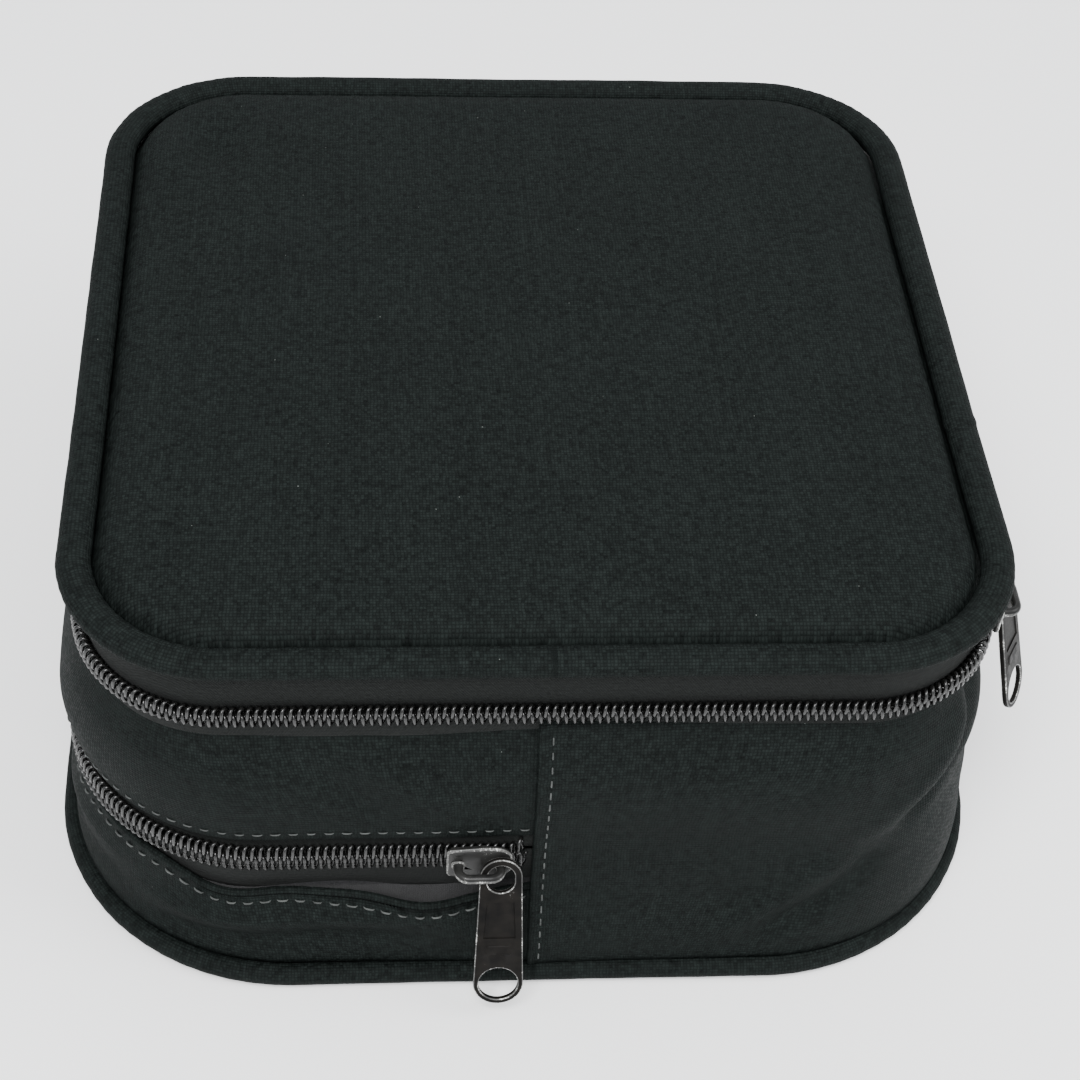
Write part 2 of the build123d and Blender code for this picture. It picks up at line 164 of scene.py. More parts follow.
def ridge(u, z, start, end, width):
    """1 on the line from start to end, both (u, z), fading over width and past its ends."""
    du, dz = end[0] - start[0], end[1] - start[1]
    length = math.hypot(du, dz)
    x, y = wrapped(u, start[0]), z - start[1]
    along = (x * du + y * dz) / length
    across = (x * dz - y * du) / length
    fade = 0.25 * length
    return bump(across, 0, width) * smooth(along / fade) * smooth((length - along) / fade)


def upper_relief(u, z):
    """How far the upper storey's cloth stands off its outline, in mm."""
    t = (z - UPPER_FOLD) / (MAIN_FOLD - UPPER_FOLD)
    belly = 1.3 * np.sin(math.pi * np.clip(t, 0, 1)) ** 1.2
    tuck = -2.1 * smooth((t - 0.58) / 0.42)
    left = 2.4 * bump(wrapped(u, U_LEFT_FRONT + 16), 0, 34) * bump(t, 0.2, 0.42)
    pinch = -2.6 * bump(wrapped(u, U_RIGHT_FRONT + 14), 0, 17) * bump(t, 0.72, 0.30)
    crease = -1.5 * ridge(u, z, (U_RIGHT_FRONT + 8, 63.0), (U_RIGHT_FRONT + 44, 30.0), 3.2)
    swell = 1.3 * ridge(u, z, (U_RIGHT_FRONT + 17, 64.0), (U_RIGHT_FRONT + 54, 32.0), 4.5)
    folds = 0.7 * ridge(u, z, (34, 64.0), (14, 44.0), 3.5) - 0.6 * ridge(u, z, (46, 63.0), (24, 42.0), 3.0)
    return belly + tuck + left + pinch + crease + swell + folds + 0.5 * ripple(u, z, 3, 14)


def lower_relief(u, z):
    """The same for the lower storey."""
    t = (z - WALL_Z0) / (LOWER_ZIP - WALL_Z0)
    belly = 0.9 * np.sin(math.pi * np.clip(t, 0, 1))
    crease = -1.3 * ridge(u, z, (U_RIGHT_FRONT + 40, 33.0), (U_RIGHT_FRONT + 66, 9.0), 3.2)
    swell = 1.2 * ridge(u, z, (U_RIGHT_FRONT + 50, 32.0), (U_RIGHT_FRONT + 74, 10.0), 4.0)
    return belly + crease + swell + 0.45 * ripple(u, z, 5, 16)


def zipped_relief(u, z):
    """The zipped half of the lower storey, which slumps in lengthwise folds under its zip."""
    waves = 1.5 * ridge(u, z, (22, 20.0), (88, 14.0), 2.6) - 1.5 * ridge(u, z, (16, 14.5), (84, 8.5), 2.4)
    waves += 2.6 * bump(u, 24, 16) * bump(z, 19, 7) * smooth((u - 2) / 9)
    waves += 1.0 * ridge(u, z, (70, 22.0), (150, 15.0), 3.0) - 0.8 * ridge(u, z, (60, 17.0), (120, 9.0), 2.4)
    return lower_relief(u, z) + waves


def fold_sag(u):
    """How far the folded edge under the lower zip wanders down, in mm."""
    dip = 2.6 * bump(u, 20, 17) + 1.2 * bump(u, 56, 10) - 2.6 * smooth((u - 60) / 18) + 0.8 * bump(u, 125, 25)
    return dip + 0.4 * np.sin(u / 7.5) + 0.3 * np.sin(u / 3.1 + 1)


# ---- Materials ----------------------------------------------------------------------------------
class Nodes:
    """Short calls for building one material's node tree."""

    def __init__(self, name):
        self.material = bpy.data.materials.new(name)
        self.material.use_nodes = True
        self.tree = self.material.node_tree
        self.bsdf = self.tree.nodes["Principled BSDF"]

    def new(self, kind, inputs=(), **settings):
        node = self.tree.nodes.new("ShaderNode" + kind)
        for key, value in settings.items():
            setattr(node, key, value)
        for socket, value in dict(inputs).items():
            self.put(node.inputs[socket], value)
        return node

    def put(self, socket, value):
        if isinstance(value, bpy.types.NodeSocket):
            self.tree.links.new(value, socket)
        else:
            socket.default_value = value

    def math(self, operation, a, b=0.0, c=0.0):
        return self.new("Math", {0: a, 1: b, 2: c}, operation=operation).outputs[0]

    def range(self, value, low, high, out_low=0.0, out_high=1.0):
        given = {"Value": value, "From Min": low, "From Max": high, "To Min": out_low, "To Max": out_high}
        return self.new("MapRange", given).outputs[0]

    def mix(self, factor, a, b, blend_type="MIX"):
        node = self.new("Mix", data_type="RGBA", blend_type=blend_type)
        for socket, value in ((0, factor), (6, a), (7, b)):
            self.put(node.inputs[socket], value)
        return node.outputs[2]

    def cloth_uv(self):
        """The piece's own cloth coordinates in mm, as (u, v)."""
        node = self.new("UVMap", uv_map="cloth")
        split = self.new("SeparateXYZ", {0: node.outputs[0]})
        return node.outputs[0], split.outputs[0], split.outputs[1]

    def noise(self, vector, scale, detail=2.0, roughness=0.5):
        given = {"Vector": vector, "Scale": scale, "Detail": detail, "Roughness": roughness}
        return self.new("TexNoise", given).outputs[0]

    def bump(self, height, strength, distance, normal=None):
        given = {"Height": height, "Strength": strength, "Distance": distance}
        if normal is not None:
            given["Normal"] = normal
        return self.new("Bump", given).outputs[0]


def rgb(r, g, b):
    return (r, g, b, 1.0)


def woven(name, dark, light, pitch, relief=0.10, roughness=0.72, specks=True, sheen=0.25):
    """Plain-weave cloth: threads over and under each other, uneven thread colour with painted glints on
    single crossings, painted shade where the threads dip, and stray lint.
    """
    m = Nodes(name)
    uv, u, v = m.cloth_uv()
    drift = m.noise(uv, 0.35, 3.0)
    u = m.math("MULTIPLY_ADD", drift, 0.9, u)
    a, b = m.math("DIVIDE", u, pitch), m.math("DIVIDE", v, pitch)
    fa, fb = m.math("FRACT", a), m.math("FRACT", b)
    wa = m.math("SINE", m.math("MULTIPLY", fa, math.pi))
    wb = m.math("SINE", m.math("MULTIPLY", fb, math.pi))
    parity = m.math("MODULO", m.math("ADD", m.math("FLOOR", a), m.math("FLOOR", b)), 2.0)
    parity = m.math("ABSOLUTE", parity)
    warp = m.math("MULTIPLY", wa, m.math("MULTIPLY_ADD", wb, 0.6, 0.4))
    weft = m.math("MULTIPLY", wb, m.math("MULTIPLY_ADD", wa, 0.6, 0.4))
    height = m.math("ADD", m.math("MULTIPLY", warp, parity),
                    m.math("MULTIPLY", weft, m.math("SUBTRACT", 1.0, parity)))
    cell = m.new("CombineXYZ", {0: m.math("FLOOR", a), 1: m.math("FLOOR", b)}).outputs[0]
    chance = m.new("TexWhiteNoise", {"Vector": cell}, noise_dimensions="2D").outputs[0]
    thread_u = m.new("TexWhiteNoise", {"W": m.math("FLOOR", a)}, noise_dimensions="1D").outputs[0]
    patch, slub = m.noise(uv, 0.05, 4.0, 0.6), m.noise(uv, 0.55, 4.0, 0.75)
    # Each crossing is lightened at random: partly uneven thread colour, partly painted glints on single
    # crossings.
    tone = m.math("MULTIPLY_ADD", chance, 0.50, m.math("MULTIPLY", thread_u, 0.08))
    tone = m.math("MULTIPLY_ADD", m.range(patch, 0.3, 0.7), 0.12, tone)
    tone = m.math("MULTIPLY_ADD", m.range(slub, 0.35, 0.68), 0.45, tone)
    # Painted shade: darker where each thread dips under the next, lighter on its top.
    tone = m.math("MULTIPLY", tone, m.range(height, 0.0, 1.0, 0.45, 1.1))
    colour = m.mix(tone, rgb(*dark), rgb(*light))
    if specks:
        grain = m.new("TexVoronoi", {"Vector": uv, "Scale": 0.21, "Randomness": 1.0}).outputs
        rare = m.math("GREATER_THAN", m.new("SeparateXYZ", {0: grain[1]}).outputs[0], 0.62)
        small = m.math("LESS_THAN", grain[0], m.range(m.noise(uv, 1.4), 0.3, 0.7, 0.015, 0.035))
        fuzz = m.math("MULTIPLY", small, rare)
        colour = m.mix(m.math("MULTIPLY", fuzz, 0.55), colour, rgb(0.13, 0.14, 0.13))
    m.put(m.bsdf.inputs["Base Color"], colour)
    m.put(m.bsdf.inputs["Roughness"], m.range(chance, 0, 1, roughness - 0.10, roughness + 0.12))
    m.bsdf.inputs["Sheen Weight"].default_value = sheen
    m.bsdf.inputs["Sheen Roughness"].default_value = 0.45
    m.bsdf.inputs["Specular IOR Level"].default_value = 0.05
    m.put(m.bsdf.inputs["Normal"], m.bump(height, 0.85, relief * MM))
    return m.material


def twill_tape(name, dark, light):
    """Zip tape: fine diagonal ribs with a few straight cords along it."""
    m = Nodes(name)
    uv, u, v = m.cloth_uv()
    rib = m.math("SINE", m.math("MULTIPLY", m.math("ADD", u, m.math("MULTIPLY", v, 1.3)), TAU / 0.55))
    cord = m.math("SINE", m.math("MULTIPLY", v, TAU / 0.9))
    height = m.math("MULTIPLY_ADD", cord, 0.35, rib)
    # Random mottle plus painted shade: the colour follows the ribs and is darker in their grooves.
    mottle_and_groove_shade = m.math("MULTIPLY_ADD", rib, 0.18, m.range(m.noise(uv, 1.6, 4.0, 0.65), 0.25, 0.75))
    m.put(m.bsdf.inputs["Base Color"], m.mix(mottle_and_groove_shade, rgb(*dark), rgb(*light)))
    m.put(m.bsdf.inputs["Roughness"], m.range(m.noise(uv, 0.8), 0.3, 0.7, 0.7, 0.9))
    m.bsdf.inputs["Sheen Weight"].default_value = 0.03
    m.bsdf.inputs["Specular IOR Level"].default_value = 0.05
    m.put(m.bsdf.inputs["Normal"], m.bump(height, 0.6, 0.06 * MM))
    return m.material


def object_noise(m, scale, detail=3.0, roughness=0.6):
    where = m.new("TexCoord").outputs["Object"]
    return m.noise(where, scale, detail, roughness)


def plastic(name, dark, light, roughness=(0.28, 0.42), scale=900.0, relief=0.02):
    m = Nodes(name)
    n = object_noise(m, scale)
    m.put(m.bsdf.inputs["Base Color"], m.mix(m.range(n, 0.3, 0.7), rgb(*dark), rgb(*light)))
    m.put(m.bsdf.inputs["Roughness"], m.range(n, 0.3, 0.7, *roughness))
    m.put(m.bsdf.inputs["Normal"], m.bump(n, 0.3, relief * MM))
    return m.material


def enamel(name, dark, light, wear, roughness=(0.30, 0.45), shine=0.18):
    """Black enamel over bright metal: wear is how much of the bare metal shows, from 0 to 1."""
    m = Nodes(name)
    fine, broad = object_noise(m, 2600.0, 5.0, 0.7), object_noise(m, 300.0)
    bare = m.range(m.math("MULTIPLY_ADD", broad, 0.6, fine), 1.06 - 0.5 * wear, 1.20 - 0.5 * wear)
    m.bsdf.inputs["Specular IOR Level"].default_value = shine
    paint = m.mix(m.range(broad, 0.3, 0.7), rgb(*dark), rgb(*light))
    m.put(m.bsdf.inputs["Base Color"], m.mix(bare, paint, rgb(0.62, 0.62, 0.60)))
    m.put(m.bsdf.inputs["Metallic"], m.range(bare, 0, 1, 0.0, 1.0))
    m.put(m.bsdf.inputs["Roughness"], m.range(fine, 0.3, 0.7, *roughness))
    m.put(m.bsdf.inputs["Normal"], m.bump(fine, 0.25, 0.03 * MM))
    return m.material


def foam_material(name, dark, light):
    m = Nodes(name)
    where = m.new("TexCoord").outputs["Object"]
    cells = m.new("TexVoronoi", {"Vector": where, "Scale": 1400.0}).outputs[0]
    n = m.noise(where, 500.0, 4.0, 0.7)
    # Painted shade: each pore is darker towards its pit and lighter on the cell walls round it.
    m.put(m.bsdf.inputs["Base Color"], m.mix(m.range(cells, 0.15, 0.6), rgb(*dark), rgb(*light)))
    m.bsdf.inputs["Roughness"].default_value = 0.95
    m.put(m.bsdf.inputs["Normal"], m.bump(m.math("MULTIPLY_ADD", n, 0.5, cells), 0.9, 0.25 * MM))
    return m.material


OXFORD = woven("oxford", (0.0008, 0.0012, 0.0011), (0.0105, 0.0138, 0.0128), 0.62, sheen=0.0)
LINING = woven("lining", (0.006, 0.006, 0.0065), (0.030, 0.030, 0.032), 0.34, 0.05, 0.6, False)
TAPE = twill_tape("zip_tape", (0.0026, 0.0030, 0.0028), (0.0135, 0.0150, 0.0142))
COIL = plastic("coil_nylon", (0.0025, 0.0025, 0.0025), (0.008, 0.008, 0.0075), (0.20, 0.32))
FOAM = foam_material("charcoal_foam", (0.007, 0.007, 0.008), (0.034, 0.035, 0.037))
BOARD = plastic("stiffener_board", (0.030, 0.030, 0.030), (0.060, 0.060, 0.058), (0.5, 0.7), 300.0)
CORD = plastic("filler_cord", (0.55, 0.54, 0.50), (0.72, 0.70, 0.66), (0.4, 0.6))
THREAD = plastic("stitch_thread", (0.008, 0.010, 0.009), (0.050, 0.055, 0.052), (0.6, 0.8), 420.0, 0.05)
SLIDER_METAL = enamel("slider_enamel", (0.006, 0.006, 0.006), (0.018, 0.018, 0.017), 0.10, (0.26, 0.40))
PULL_METAL = enamel("pull_enamel", (0.004, 0.004, 0.004), (0.010, 0.009, 0.008), 0.02, (0.34, 0.50), 0.03)
# Lighter enamel for rounded edges and crests: partly bare metal worn through, partly painted highlight where
# the edges catch the light.
EDGE_WEAR_AND_HIGHLIGHT = enamel("edge_wear_and_painted_highlight", (0.03, 0.03, 0.03), (0.10, 0.10, 0.095), 0.45, (0.24, 0.40))
FABRIC_SLOT, TAPE_SLOT, COIL_SLOT = "case_fabric", "zip_tape", "zip_coil"


# ---- Mesh helpers -------------------------------------------------------------------------------
def mesh_object(name, points, faces, materials, uvs=None, face_slots=None):
    """points in mm. uvs holds one (u, v) for each point, in mm of cloth."""
    mesh = bpy.data.meshes.new(name)
    mesh.from_pydata((np.asarray(points) * MM).tolist(), [], [list(map(int, f)) for f in faces])
    for m in materials:
        mesh.materials.append(m)
    if face_slots is not None:
        mesh.polygons.foreach_set("material_index", np.asarray(face_slots, np.int32))
    if uvs is not None:
        layer = mesh.uv_layers.new(name="cloth")
        index = np.zeros(len(mesh.loops), np.int32)
        mesh.loops.foreach_get("vertex_index", index)
        layer.data.foreach_set("uv", np.asarray(uvs, np.float32)[index].ravel())
    mesh.polygons.foreach_set("use_smooth", np.ones(len(mesh.polygons), bool))
    mesh.update()
    obj = bpy.data.objects.new(name, mesh)
    bpy.context.scene.collection.objects.link(obj)
    return obj


def grid_faces(rows, cols, closed_cols=False, closed_rows=False, start=0):
    r = np.arange(rows if closed_rows else rows - 1)
    c = np.arange(cols if closed_cols else cols - 1)
    rr, cc = np.meshgrid(r, c, indexing="ij")
    r1, c1 = (rr + 1) % rows, (cc + 1) % cols
    quads = np.stack([rr * cols + cc, rr * cols + c1, r1 * cols + c1, r1 * cols + cc], -1)
    return (quads.reshape(-1, 4) + start).tolist()


def outward(obj, merge=False):
    """Makes a closed mesh's faces point outwards, and first merges the points at a planar sheet's centre."""
    bm = bmesh.new()
    bm.from_mesh(obj.data)
    if merge:
        bmesh.ops.remove_doubles(bm, verts=bm.verts, dist=1e-6)
        bmesh.ops.dissolve_degenerate(bm, edges=bm.edges, dist=1e-6)
    bmesh.ops.recalc_face_normals(bm, faces=bm.faces)
    bm.to_mesh(obj.data)
    bm.free()
    return obj


def place(obj, body, slot, *nodes):
    """Rides on its body, and stands for the CAD nodes named. slot is not used."""
    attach(obj, body)
    if nodes:
        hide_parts(*nodes)
    return obj


def cloth(name, u, v, thickness, material=None, closed=False, planar=False):
    """A sheet of cloth with both its faces and its edges, and its area in square metres.

    u is an array of places round the case; v is a list of functions of u, one for each line of the
    cloth from its first edge to its last, and each returns (points, normals) in mm. A planar sheet's
    lines close in to a point.
    """
    lines = [f(u) for f in v]
    p = np.array([a for a, _ in lines])
    given = np.array([b for _, b in lines])
    rows, cols = p.shape[:2]
    if planar:
        n = given
    else:
        down = np.gradient(p, axis=0)
        along = (np.roll(p, -1, 1) - np.roll(p, 1, 1)) if closed else np.gradient(p, axis=1)
        n = np.cross(along, down)
        n /= np.maximum(np.linalg.norm(n, axis=2, keepdims=True), 1e-9)
        n *= np.sign((n * given).sum(2).mean())
    inner = p - n * thickness
    across = np.r_[0, np.cumsum(np.linalg.norm(np.diff(p, axis=0), axis=2).mean(1))]
    along = np.r_[0, np.cumsum(np.linalg.norm(np.diff(p, axis=1), axis=2).mean(0))]
    uv = np.stack(np.broadcast_arrays(along[None, :], across[:, None]), -1).reshape(-1, 2)
    if planar:
        uv = p[..., :2].reshape(-1, 2)
    count = rows * cols
    faces = grid_faces(rows, cols, closed) + [f[::-1] for f in grid_faces(rows, cols, closed, start=count)]
    for row in (0,) if planar else (0, rows - 1):
        faces += edge_strip(np.arange(cols) + row * cols, count, closed)
    if not closed:
        for col in (0, cols - 1):
            faces += edge_strip(np.arange(rows) * cols + col, count, False)
    points = np.concatenate([p.reshape(-1, 3), inner.reshape(-1, 3)])
    obj = mesh_object(name, points, faces, [material or OXFORD], np.concatenate([uv, uv]))
    return outward(obj, planar), area_of(p, closed)


def edge_strip(ids, count, closed):
    nxt = np.roll(ids, -1)
    last = len(ids) if closed else len(ids) - 1
    return [[int(ids[i]), int(nxt[i]), int(nxt[i] + count), int(ids[i] + count)] for i in range(last)]


def area_of(p, closed):
    """Area in square metres of a grid of points in mm, for a sheet's flat size."""
    q = np.concatenate([p, p[:, :1]], 1) if closed else p
    a, b, c, d = q[:-1, :-1], q[:-1, 1:], q[1:, 1:], q[1:, :-1]
    one = np.linalg.norm(np.cross(b - a, c - a), axis=2) + np.linalg.norm(np.cross(c - a, d - a), axis=2)
    return one.sum() / 2 * MM * MM


def wall_line(relief, z, inset=0.0, sag=None):
    """A line of a wall panel at height z, with its relief and an optional wander of its height."""
    def line(u):
        height = np.full(len(u), float(z))
        if sag is not None:
            height = height - sag(u)
        p, n = wall_frame(u, height, inset)
        return p + n * relief(u, height)[:, None], n
    return line


def hem(relief, z, way, inset=0.0, sag=None, depth=5.0, radius=0.55):
    """The lines of a folded edge at height z: round the fold, then back down inside. way is +1 when the
    cloth below is being folded at its top, and -1 when its bottom edge is."""
    def line(angle, back):
        def at(u):
            height = np.full(len(u), float(z)) - (sag(u) if sag is not None else 0.0)
            height = height - way * (radius - radius * math.sin(angle) + back)
            p, n = wall_frame(u, height, inset)
            inwards = radius * (1 - math.cos(angle))
            return p + n * (relief(u, height) - inwards)[:, None], n
        return at
    turn = [line(math.pi * k / 6, 0.0) for k in range(0, 7)]
    return turn + [line(math.pi, depth * k / 3) for k in (1, 2, 3)]


def tube(name, path, radius, material, sides=8, closed=True, uv_round=None, rings=None, caps=False):
    """A tube along path, an (n, 3) array in mm. radius is a number or one for each point."""
    path = np.asarray(path, float)
    n = len(path)
    tangent = (np.roll(path, -1, 0) - np.roll(path, 1, 0)) if closed else np.gradient(path, axis=0)
    tangent /= np.linalg.norm(tangent, axis=1)[:, None]
    side = np.cross(tangent, [0, 0, 1.0])
    weak = np.linalg.norm(side, axis=1) < 1e-3
    side[weak] = [1.0, 0, 0]
    side /= np.linalg.norm(side, axis=1)[:, None]
    up = np.cross(side, tangent)
    angle = TAU * np.arange(sides) / sides
    radius = np.broadcast_to(radius, (n,))
    wide, tall = rings if rings else (1.0, 1.0)
    offset = (side[:, None] * (np.cos(angle) * wide)[None, :, None]
              + up[:, None] * (np.sin(angle) * tall)[None, :, None])
    points = path[:, None] + offset * radius[:, None, None]
    along = np.r_[0, np.cumsum(np.linalg.norm(np.diff(path, axis=0), axis=1))]
    turn = (uv_round or TAU * float(np.mean(radius))) * np.arange(sides) / sides
    uv = np.stack(np.broadcast_arrays(along[:, None], turn[None, :]), -1).reshape(-1, 2)
    faces = grid_faces(n, sides, True, closed)
    points = points.reshape(-1, 3)
    if caps and not closed:
        faces += [list(range(sides))[::-1], [(n - 1) * sides + k for k in range(sides)]]
    return outward(mesh_object(name, points, faces, [material], uv))


STITCH_SINK = 0.22  # how far a stitch's ends go under the cloth, in mm


def span(u0, u1, step=1.4):
    return np.linspace(u0, u1, max(3, int(abs(u1 - u0) / step) + 1))


def stitches(name, path, pitch, length, radius):
    """A row of sewn stitches along path: each is a short bowed thread whose ends dive into the cloth.

    path is a function of distance in mm that returns (points, normals), and pitch the step between
    stitches.
    """
    total, place_at = path
    ends = np.arange(0.5 * pitch, total - 0.5 * pitch, pitch)
    rings, sides = 6, 6
    t = np.linspace(-0.5, 0.5, rings)
    all_points, faces = [], []
    for k, s in enumerate(ends):
        size = length * (1 + 0.10 * math.sin(5.1 * k) + 0.05 * math.sin(12.7 * k))
        p, n = place_at(s + t * size)
        tangent = np.gradient(p, axis=0)
        tangent /= np.linalg.norm(tangent, axis=1)[:, None]
        side = np.cross(tangent, n)
        lift = radius * 1.15 - (STITCH_SINK + radius) * (2 * t) ** 4
        r = radius * (1 - 0.35 * (2 * t) ** 4)
        centre = p + n * lift[:, None]
        angle = TAU * np.arange(sides) / sides
        ring = (n[:, None] * np.sin(angle)[None, :, None] + side[:, None] * np.cos(angle)[None, :, None])
        start = len(all_points) * rings * sides
        all_points.append((centre[:, None] + ring * r[:, None, None]).reshape(-1, 3))
        faces += grid_faces(rings, sides, True, False, start)
        faces += [[start + j for j in range(sides)][::-1],
                  [start + (rings - 1) * sides + j for j in range(sides)]]
    return outward(mesh_object(name, np.concatenate(all_points), faces, [THREAD]))


def stitch_path(line, u0, u1):
    """(length, place_at) for stitches along a wall line between u0 and u1."""
    u = span(u0, u1, 0.5)
    p, n = line(u)
    s = np.r_[0, np.cumsum(np.linalg.norm(np.diff(p, axis=0), axis=1))]

    def place_at(distance):
        at = np.stack([np.interp(distance, s, p[:, k]) for k in range(3)], -1)
        up = np.stack([np.interp(distance, s, n[:, k]) for k in range(3)], -1)
        return at, up / np.linalg.norm(up, axis=1)[:, None]
    return s[-1], place_at


# ---- Cloth of the walls -------------------------------------------------------------------------
CLOTH = 0.8
HEM_R = 0.75


def heights(z0, z1, step=1.4):
    return np.linspace(z0, z1, max(2, int(abs(z1 - z0) / step) + 1))


def right_relief(u, z):
    """The hinge-side panels are one cloth, so its relief runs from the lower storey's into the upper's."""
    share = smooth((z - 28.0) / 10.0)
    return lower_relief(u, z) * (1 - share) + upper_relief(u, z) * share


def folded_ends(u0, u1, depth=5.0):
    """(places, how far in) for cloth whose two upright edges are folded under."""
    angle = np.linspace(0, math.pi, 7)
    turn, push = HEM_R * (np.sin(angle) - 1), HEM_R * (1 - np.cos(angle))
    back = HEM_R + np.array([depth / 2, depth])
    middle = span(u0 + HEM_R, u1 - HEM_R)[1:-1]
    places = np.r_[u0 + back[::-1], u0 - turn[::-1], middle, u1 + turn, u1 - back]
    inwards = np.r_[2 * HEM_R, 2 * HEM_R, push[::-1], 0 * middle, push, 2 * HEM_R, 2 * HEM_R]
    lip = 0.45 * (bump(places, u0, 1.6) + bump(places, u1, 1.6))
    return places, inwards - lip


def pushed(line, inwards):
    def at(u):
        p, n = line(u)
        return p - n * inwards[:, None], n
    return at


def lower_left_panel():
    def sag_at(z):
        share = float(smooth((z - WALL_Z0) / (SPLAY_Z - WALL_Z0)))
        return lambda u: fold_sag(u) * share
    lines = [wall_line(zipped_relief, z, CLOTH, sag_at(z)) for z in heights(WALL_Z0, SPLAY_Z - HEM_R)]
    lines += hem(zipped_relief, SPLAY_Z, 1, CLOTH, fold_sag, 5.0, HEM_R)
    panel, area = cloth("lower_left_panel", span(-5, U_BACK + 5), lines, 0.6)
    place(panel, "base", FABRIC_SLOT, "lower_side_panel")
    seam = wall_line(zipped_relief, SPLAY_Z - 2.4, CLOTH, fold_sag)
    thread = stitches("lower_left_topstitch", stitch_path(seam, 1, U_BACK - 1), 3.3, 2.1, 0.20)
    place(thread, "base", FABRIC_SLOT)


def upper_left_panel():
    relief = upper_relief
    lines = hem(relief, UPPER_FOLD, -1, CLOTH, None, 5.0, HEM_R)[::-1]
    lines += [wall_line(relief, z, CLOTH) for z in heights(UPPER_FOLD + HEM_R, MAIN_FOLD - HEM_R)[1:-1]]
    lines += hem(relief, MAIN_FOLD, 1, CLOTH, None, 5.0, HEM_R)
    panel, area = cloth("upper_left_panel", span(-5, U_BACK + 5), lines, 0.6)
    place(panel, "upper_case", FABRIC_SLOT, "upper_side_panel")
    seam = wall_line(relief, UPPER_FOLD + 2.4, CLOTH)
    thread = stitches("upper_left_topstitch", stitch_path(seam, 1, U_BACK - 1), 3.3, 2.0, 0.15)
    place(thread, "upper_case", FABRIC_SLOT)


def hinge_side_panel():
    """One cloth from the base to the lid's zip."""
    u, inwards = folded_ends(U_BACK - 1.0, U_END + 1.0)
    lines = [pushed(wall_line(right_relief, z), inwards) for z in heights(WALL_Z0, MAIN_FOLD - HEM_R)]
    lines += [pushed(line, inwards) for line in hem(right_relief, MAIN_FOLD, 1, 0, None, 5.0, HEM_R)]
    panel, area = cloth("hinge_side_panel", u, lines, 0.6)
    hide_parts("hinge_panel_lower", "hinge_panel_upper")
    seams = (("front_seam_topstitch", U_END - 1.4), ("back_seam_topstitch", U_BACK + 1.4))
    threads = [upright_stitches(name, place_u) for name, place_u in seams]
    for piece in [panel] + threads:
        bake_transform(piece)


def upright_stitches(name, u):
    z = np.arange(WALL_Z0 + 1, MAIN_FOLD - 1, 0.5)
    place_u = np.full(len(z), u)
    p, n = wall_frame(place_u, z)
    p = p + n * right_relief(place_u, z)[:, None]
    s = np.r_[0, np.cumsum(np.linalg.norm(np.diff(p, axis=0), axis=1))]

    def place_at(distance):
        at = np.stack([np.interp(distance, s, p[:, k]) for k in range(3)], -1)
        return at, np.stack([np.interp(distance, s, n[:, k]) for k in range(3)], -1)
    piece = stitches(name, (s[-1], place_at), 3.0, 1.8, 0.19)
    return piece


# ---- Zips ---------------------------------------------------------------------------------------
PITCH, WIRE = 1.5, 0.37
TAPE_INSET = 2 * CLOTH
LAP = 0.45  # how far the teeth pass each other
LOWER_HALF, MAIN_HALF = 3.1, 2.1  # each chain's half height


def zip_wander(u):
    return 0.22 * ripple(u, 0.0 * u, 11, 10)


def zip_tape(name, size, u0, u1, z0, z1, body, node, tuck=0.0):
    """A tape between two heights. tuck is how far its far edge (z1's) leans in behind the cloth."""
    def line(z, share):
        def at(u):
            xy, n = outline(u, size, TAPE_INSET + tuck * share)
            return np.c_[xy, np.full(len(u), z) + zip_wander(u)], np.c_[n, 0 * u]
        return at
    shares = np.linspace(0, 1, 6)
    tape, area = cloth(name, span(u0, u1), [line(z0 + (z1 - z0) * s, s) for s in shares], 0.5, TAPE)
    place(tape, body, TAPE_SLOT, node)


def coil(name, size, u0, u1, edge, head, phase, body, node, parting=None):
    """One half of a zip: a nylon wire wound in loops that run from the tape's edge to the teeth's heads."""
    samples = 16
    places = np.linspace(u0, u1, 4000)
    run = np.r_[0, np.cumsum(np.linalg.norm(np.diff(outline(places, size)[0], axis=0), axis=1))]
    run -= np.interp(0 if u0 <= 0 <= u1 else u0, places, run)
    first, last = math.ceil(run[0] / PITCH + 1), math.floor(run[-1] / PITCH - 1)
    k = np.arange((last - first) * samples + 1) / samples + first
    part = k % 1
    step = k + np.sin(2 * TAU * part) / (2 * TAU) + phase
    u = np.interp(step * PITCH, run, places)
    c, s = np.cos(TAU * k), np.sin(TAU * k)
    across = np.sign(c) * np.abs(c) ** 0.9
    z = (edge + head) / 2 + (head - edge) / 2 * across + zip_wander(u)
    inset = 0.40 + 0.80 * s
    if parting is not None:
        away = smooth((parting - u) / 5.0)
        z = z + (edge - head) * 0.75 * away
        inset = inset + 1.6 * away
    xy, n = outline(u, size)
    path = np.c_[xy - n[:, :2] * inset[:, None], z]
    wire = WIRE * (1 + 0.10 * np.clip(across, 0, 1))
    return place(tube(name, path, wire, COIL, 6, False, caps=True), body, COIL_SLOT, node)


def chain(prefix, size, u0, u1, z, parts, parting=None):
    """The two halves of a zip. parts gives the body and CAD node of the lower half, then of the upper."""
    for way, phase, (body, node) in ((-1, 0.0, parts[0]), (1, 0.5, parts[1])):
        half = "lower" if way < 0 else "upper"
        coil(f"{prefix}_{half}_coil", size, u0, u1, z + way * LOWER_HALF, z - way * LAP, phase, body, node,
             parting)


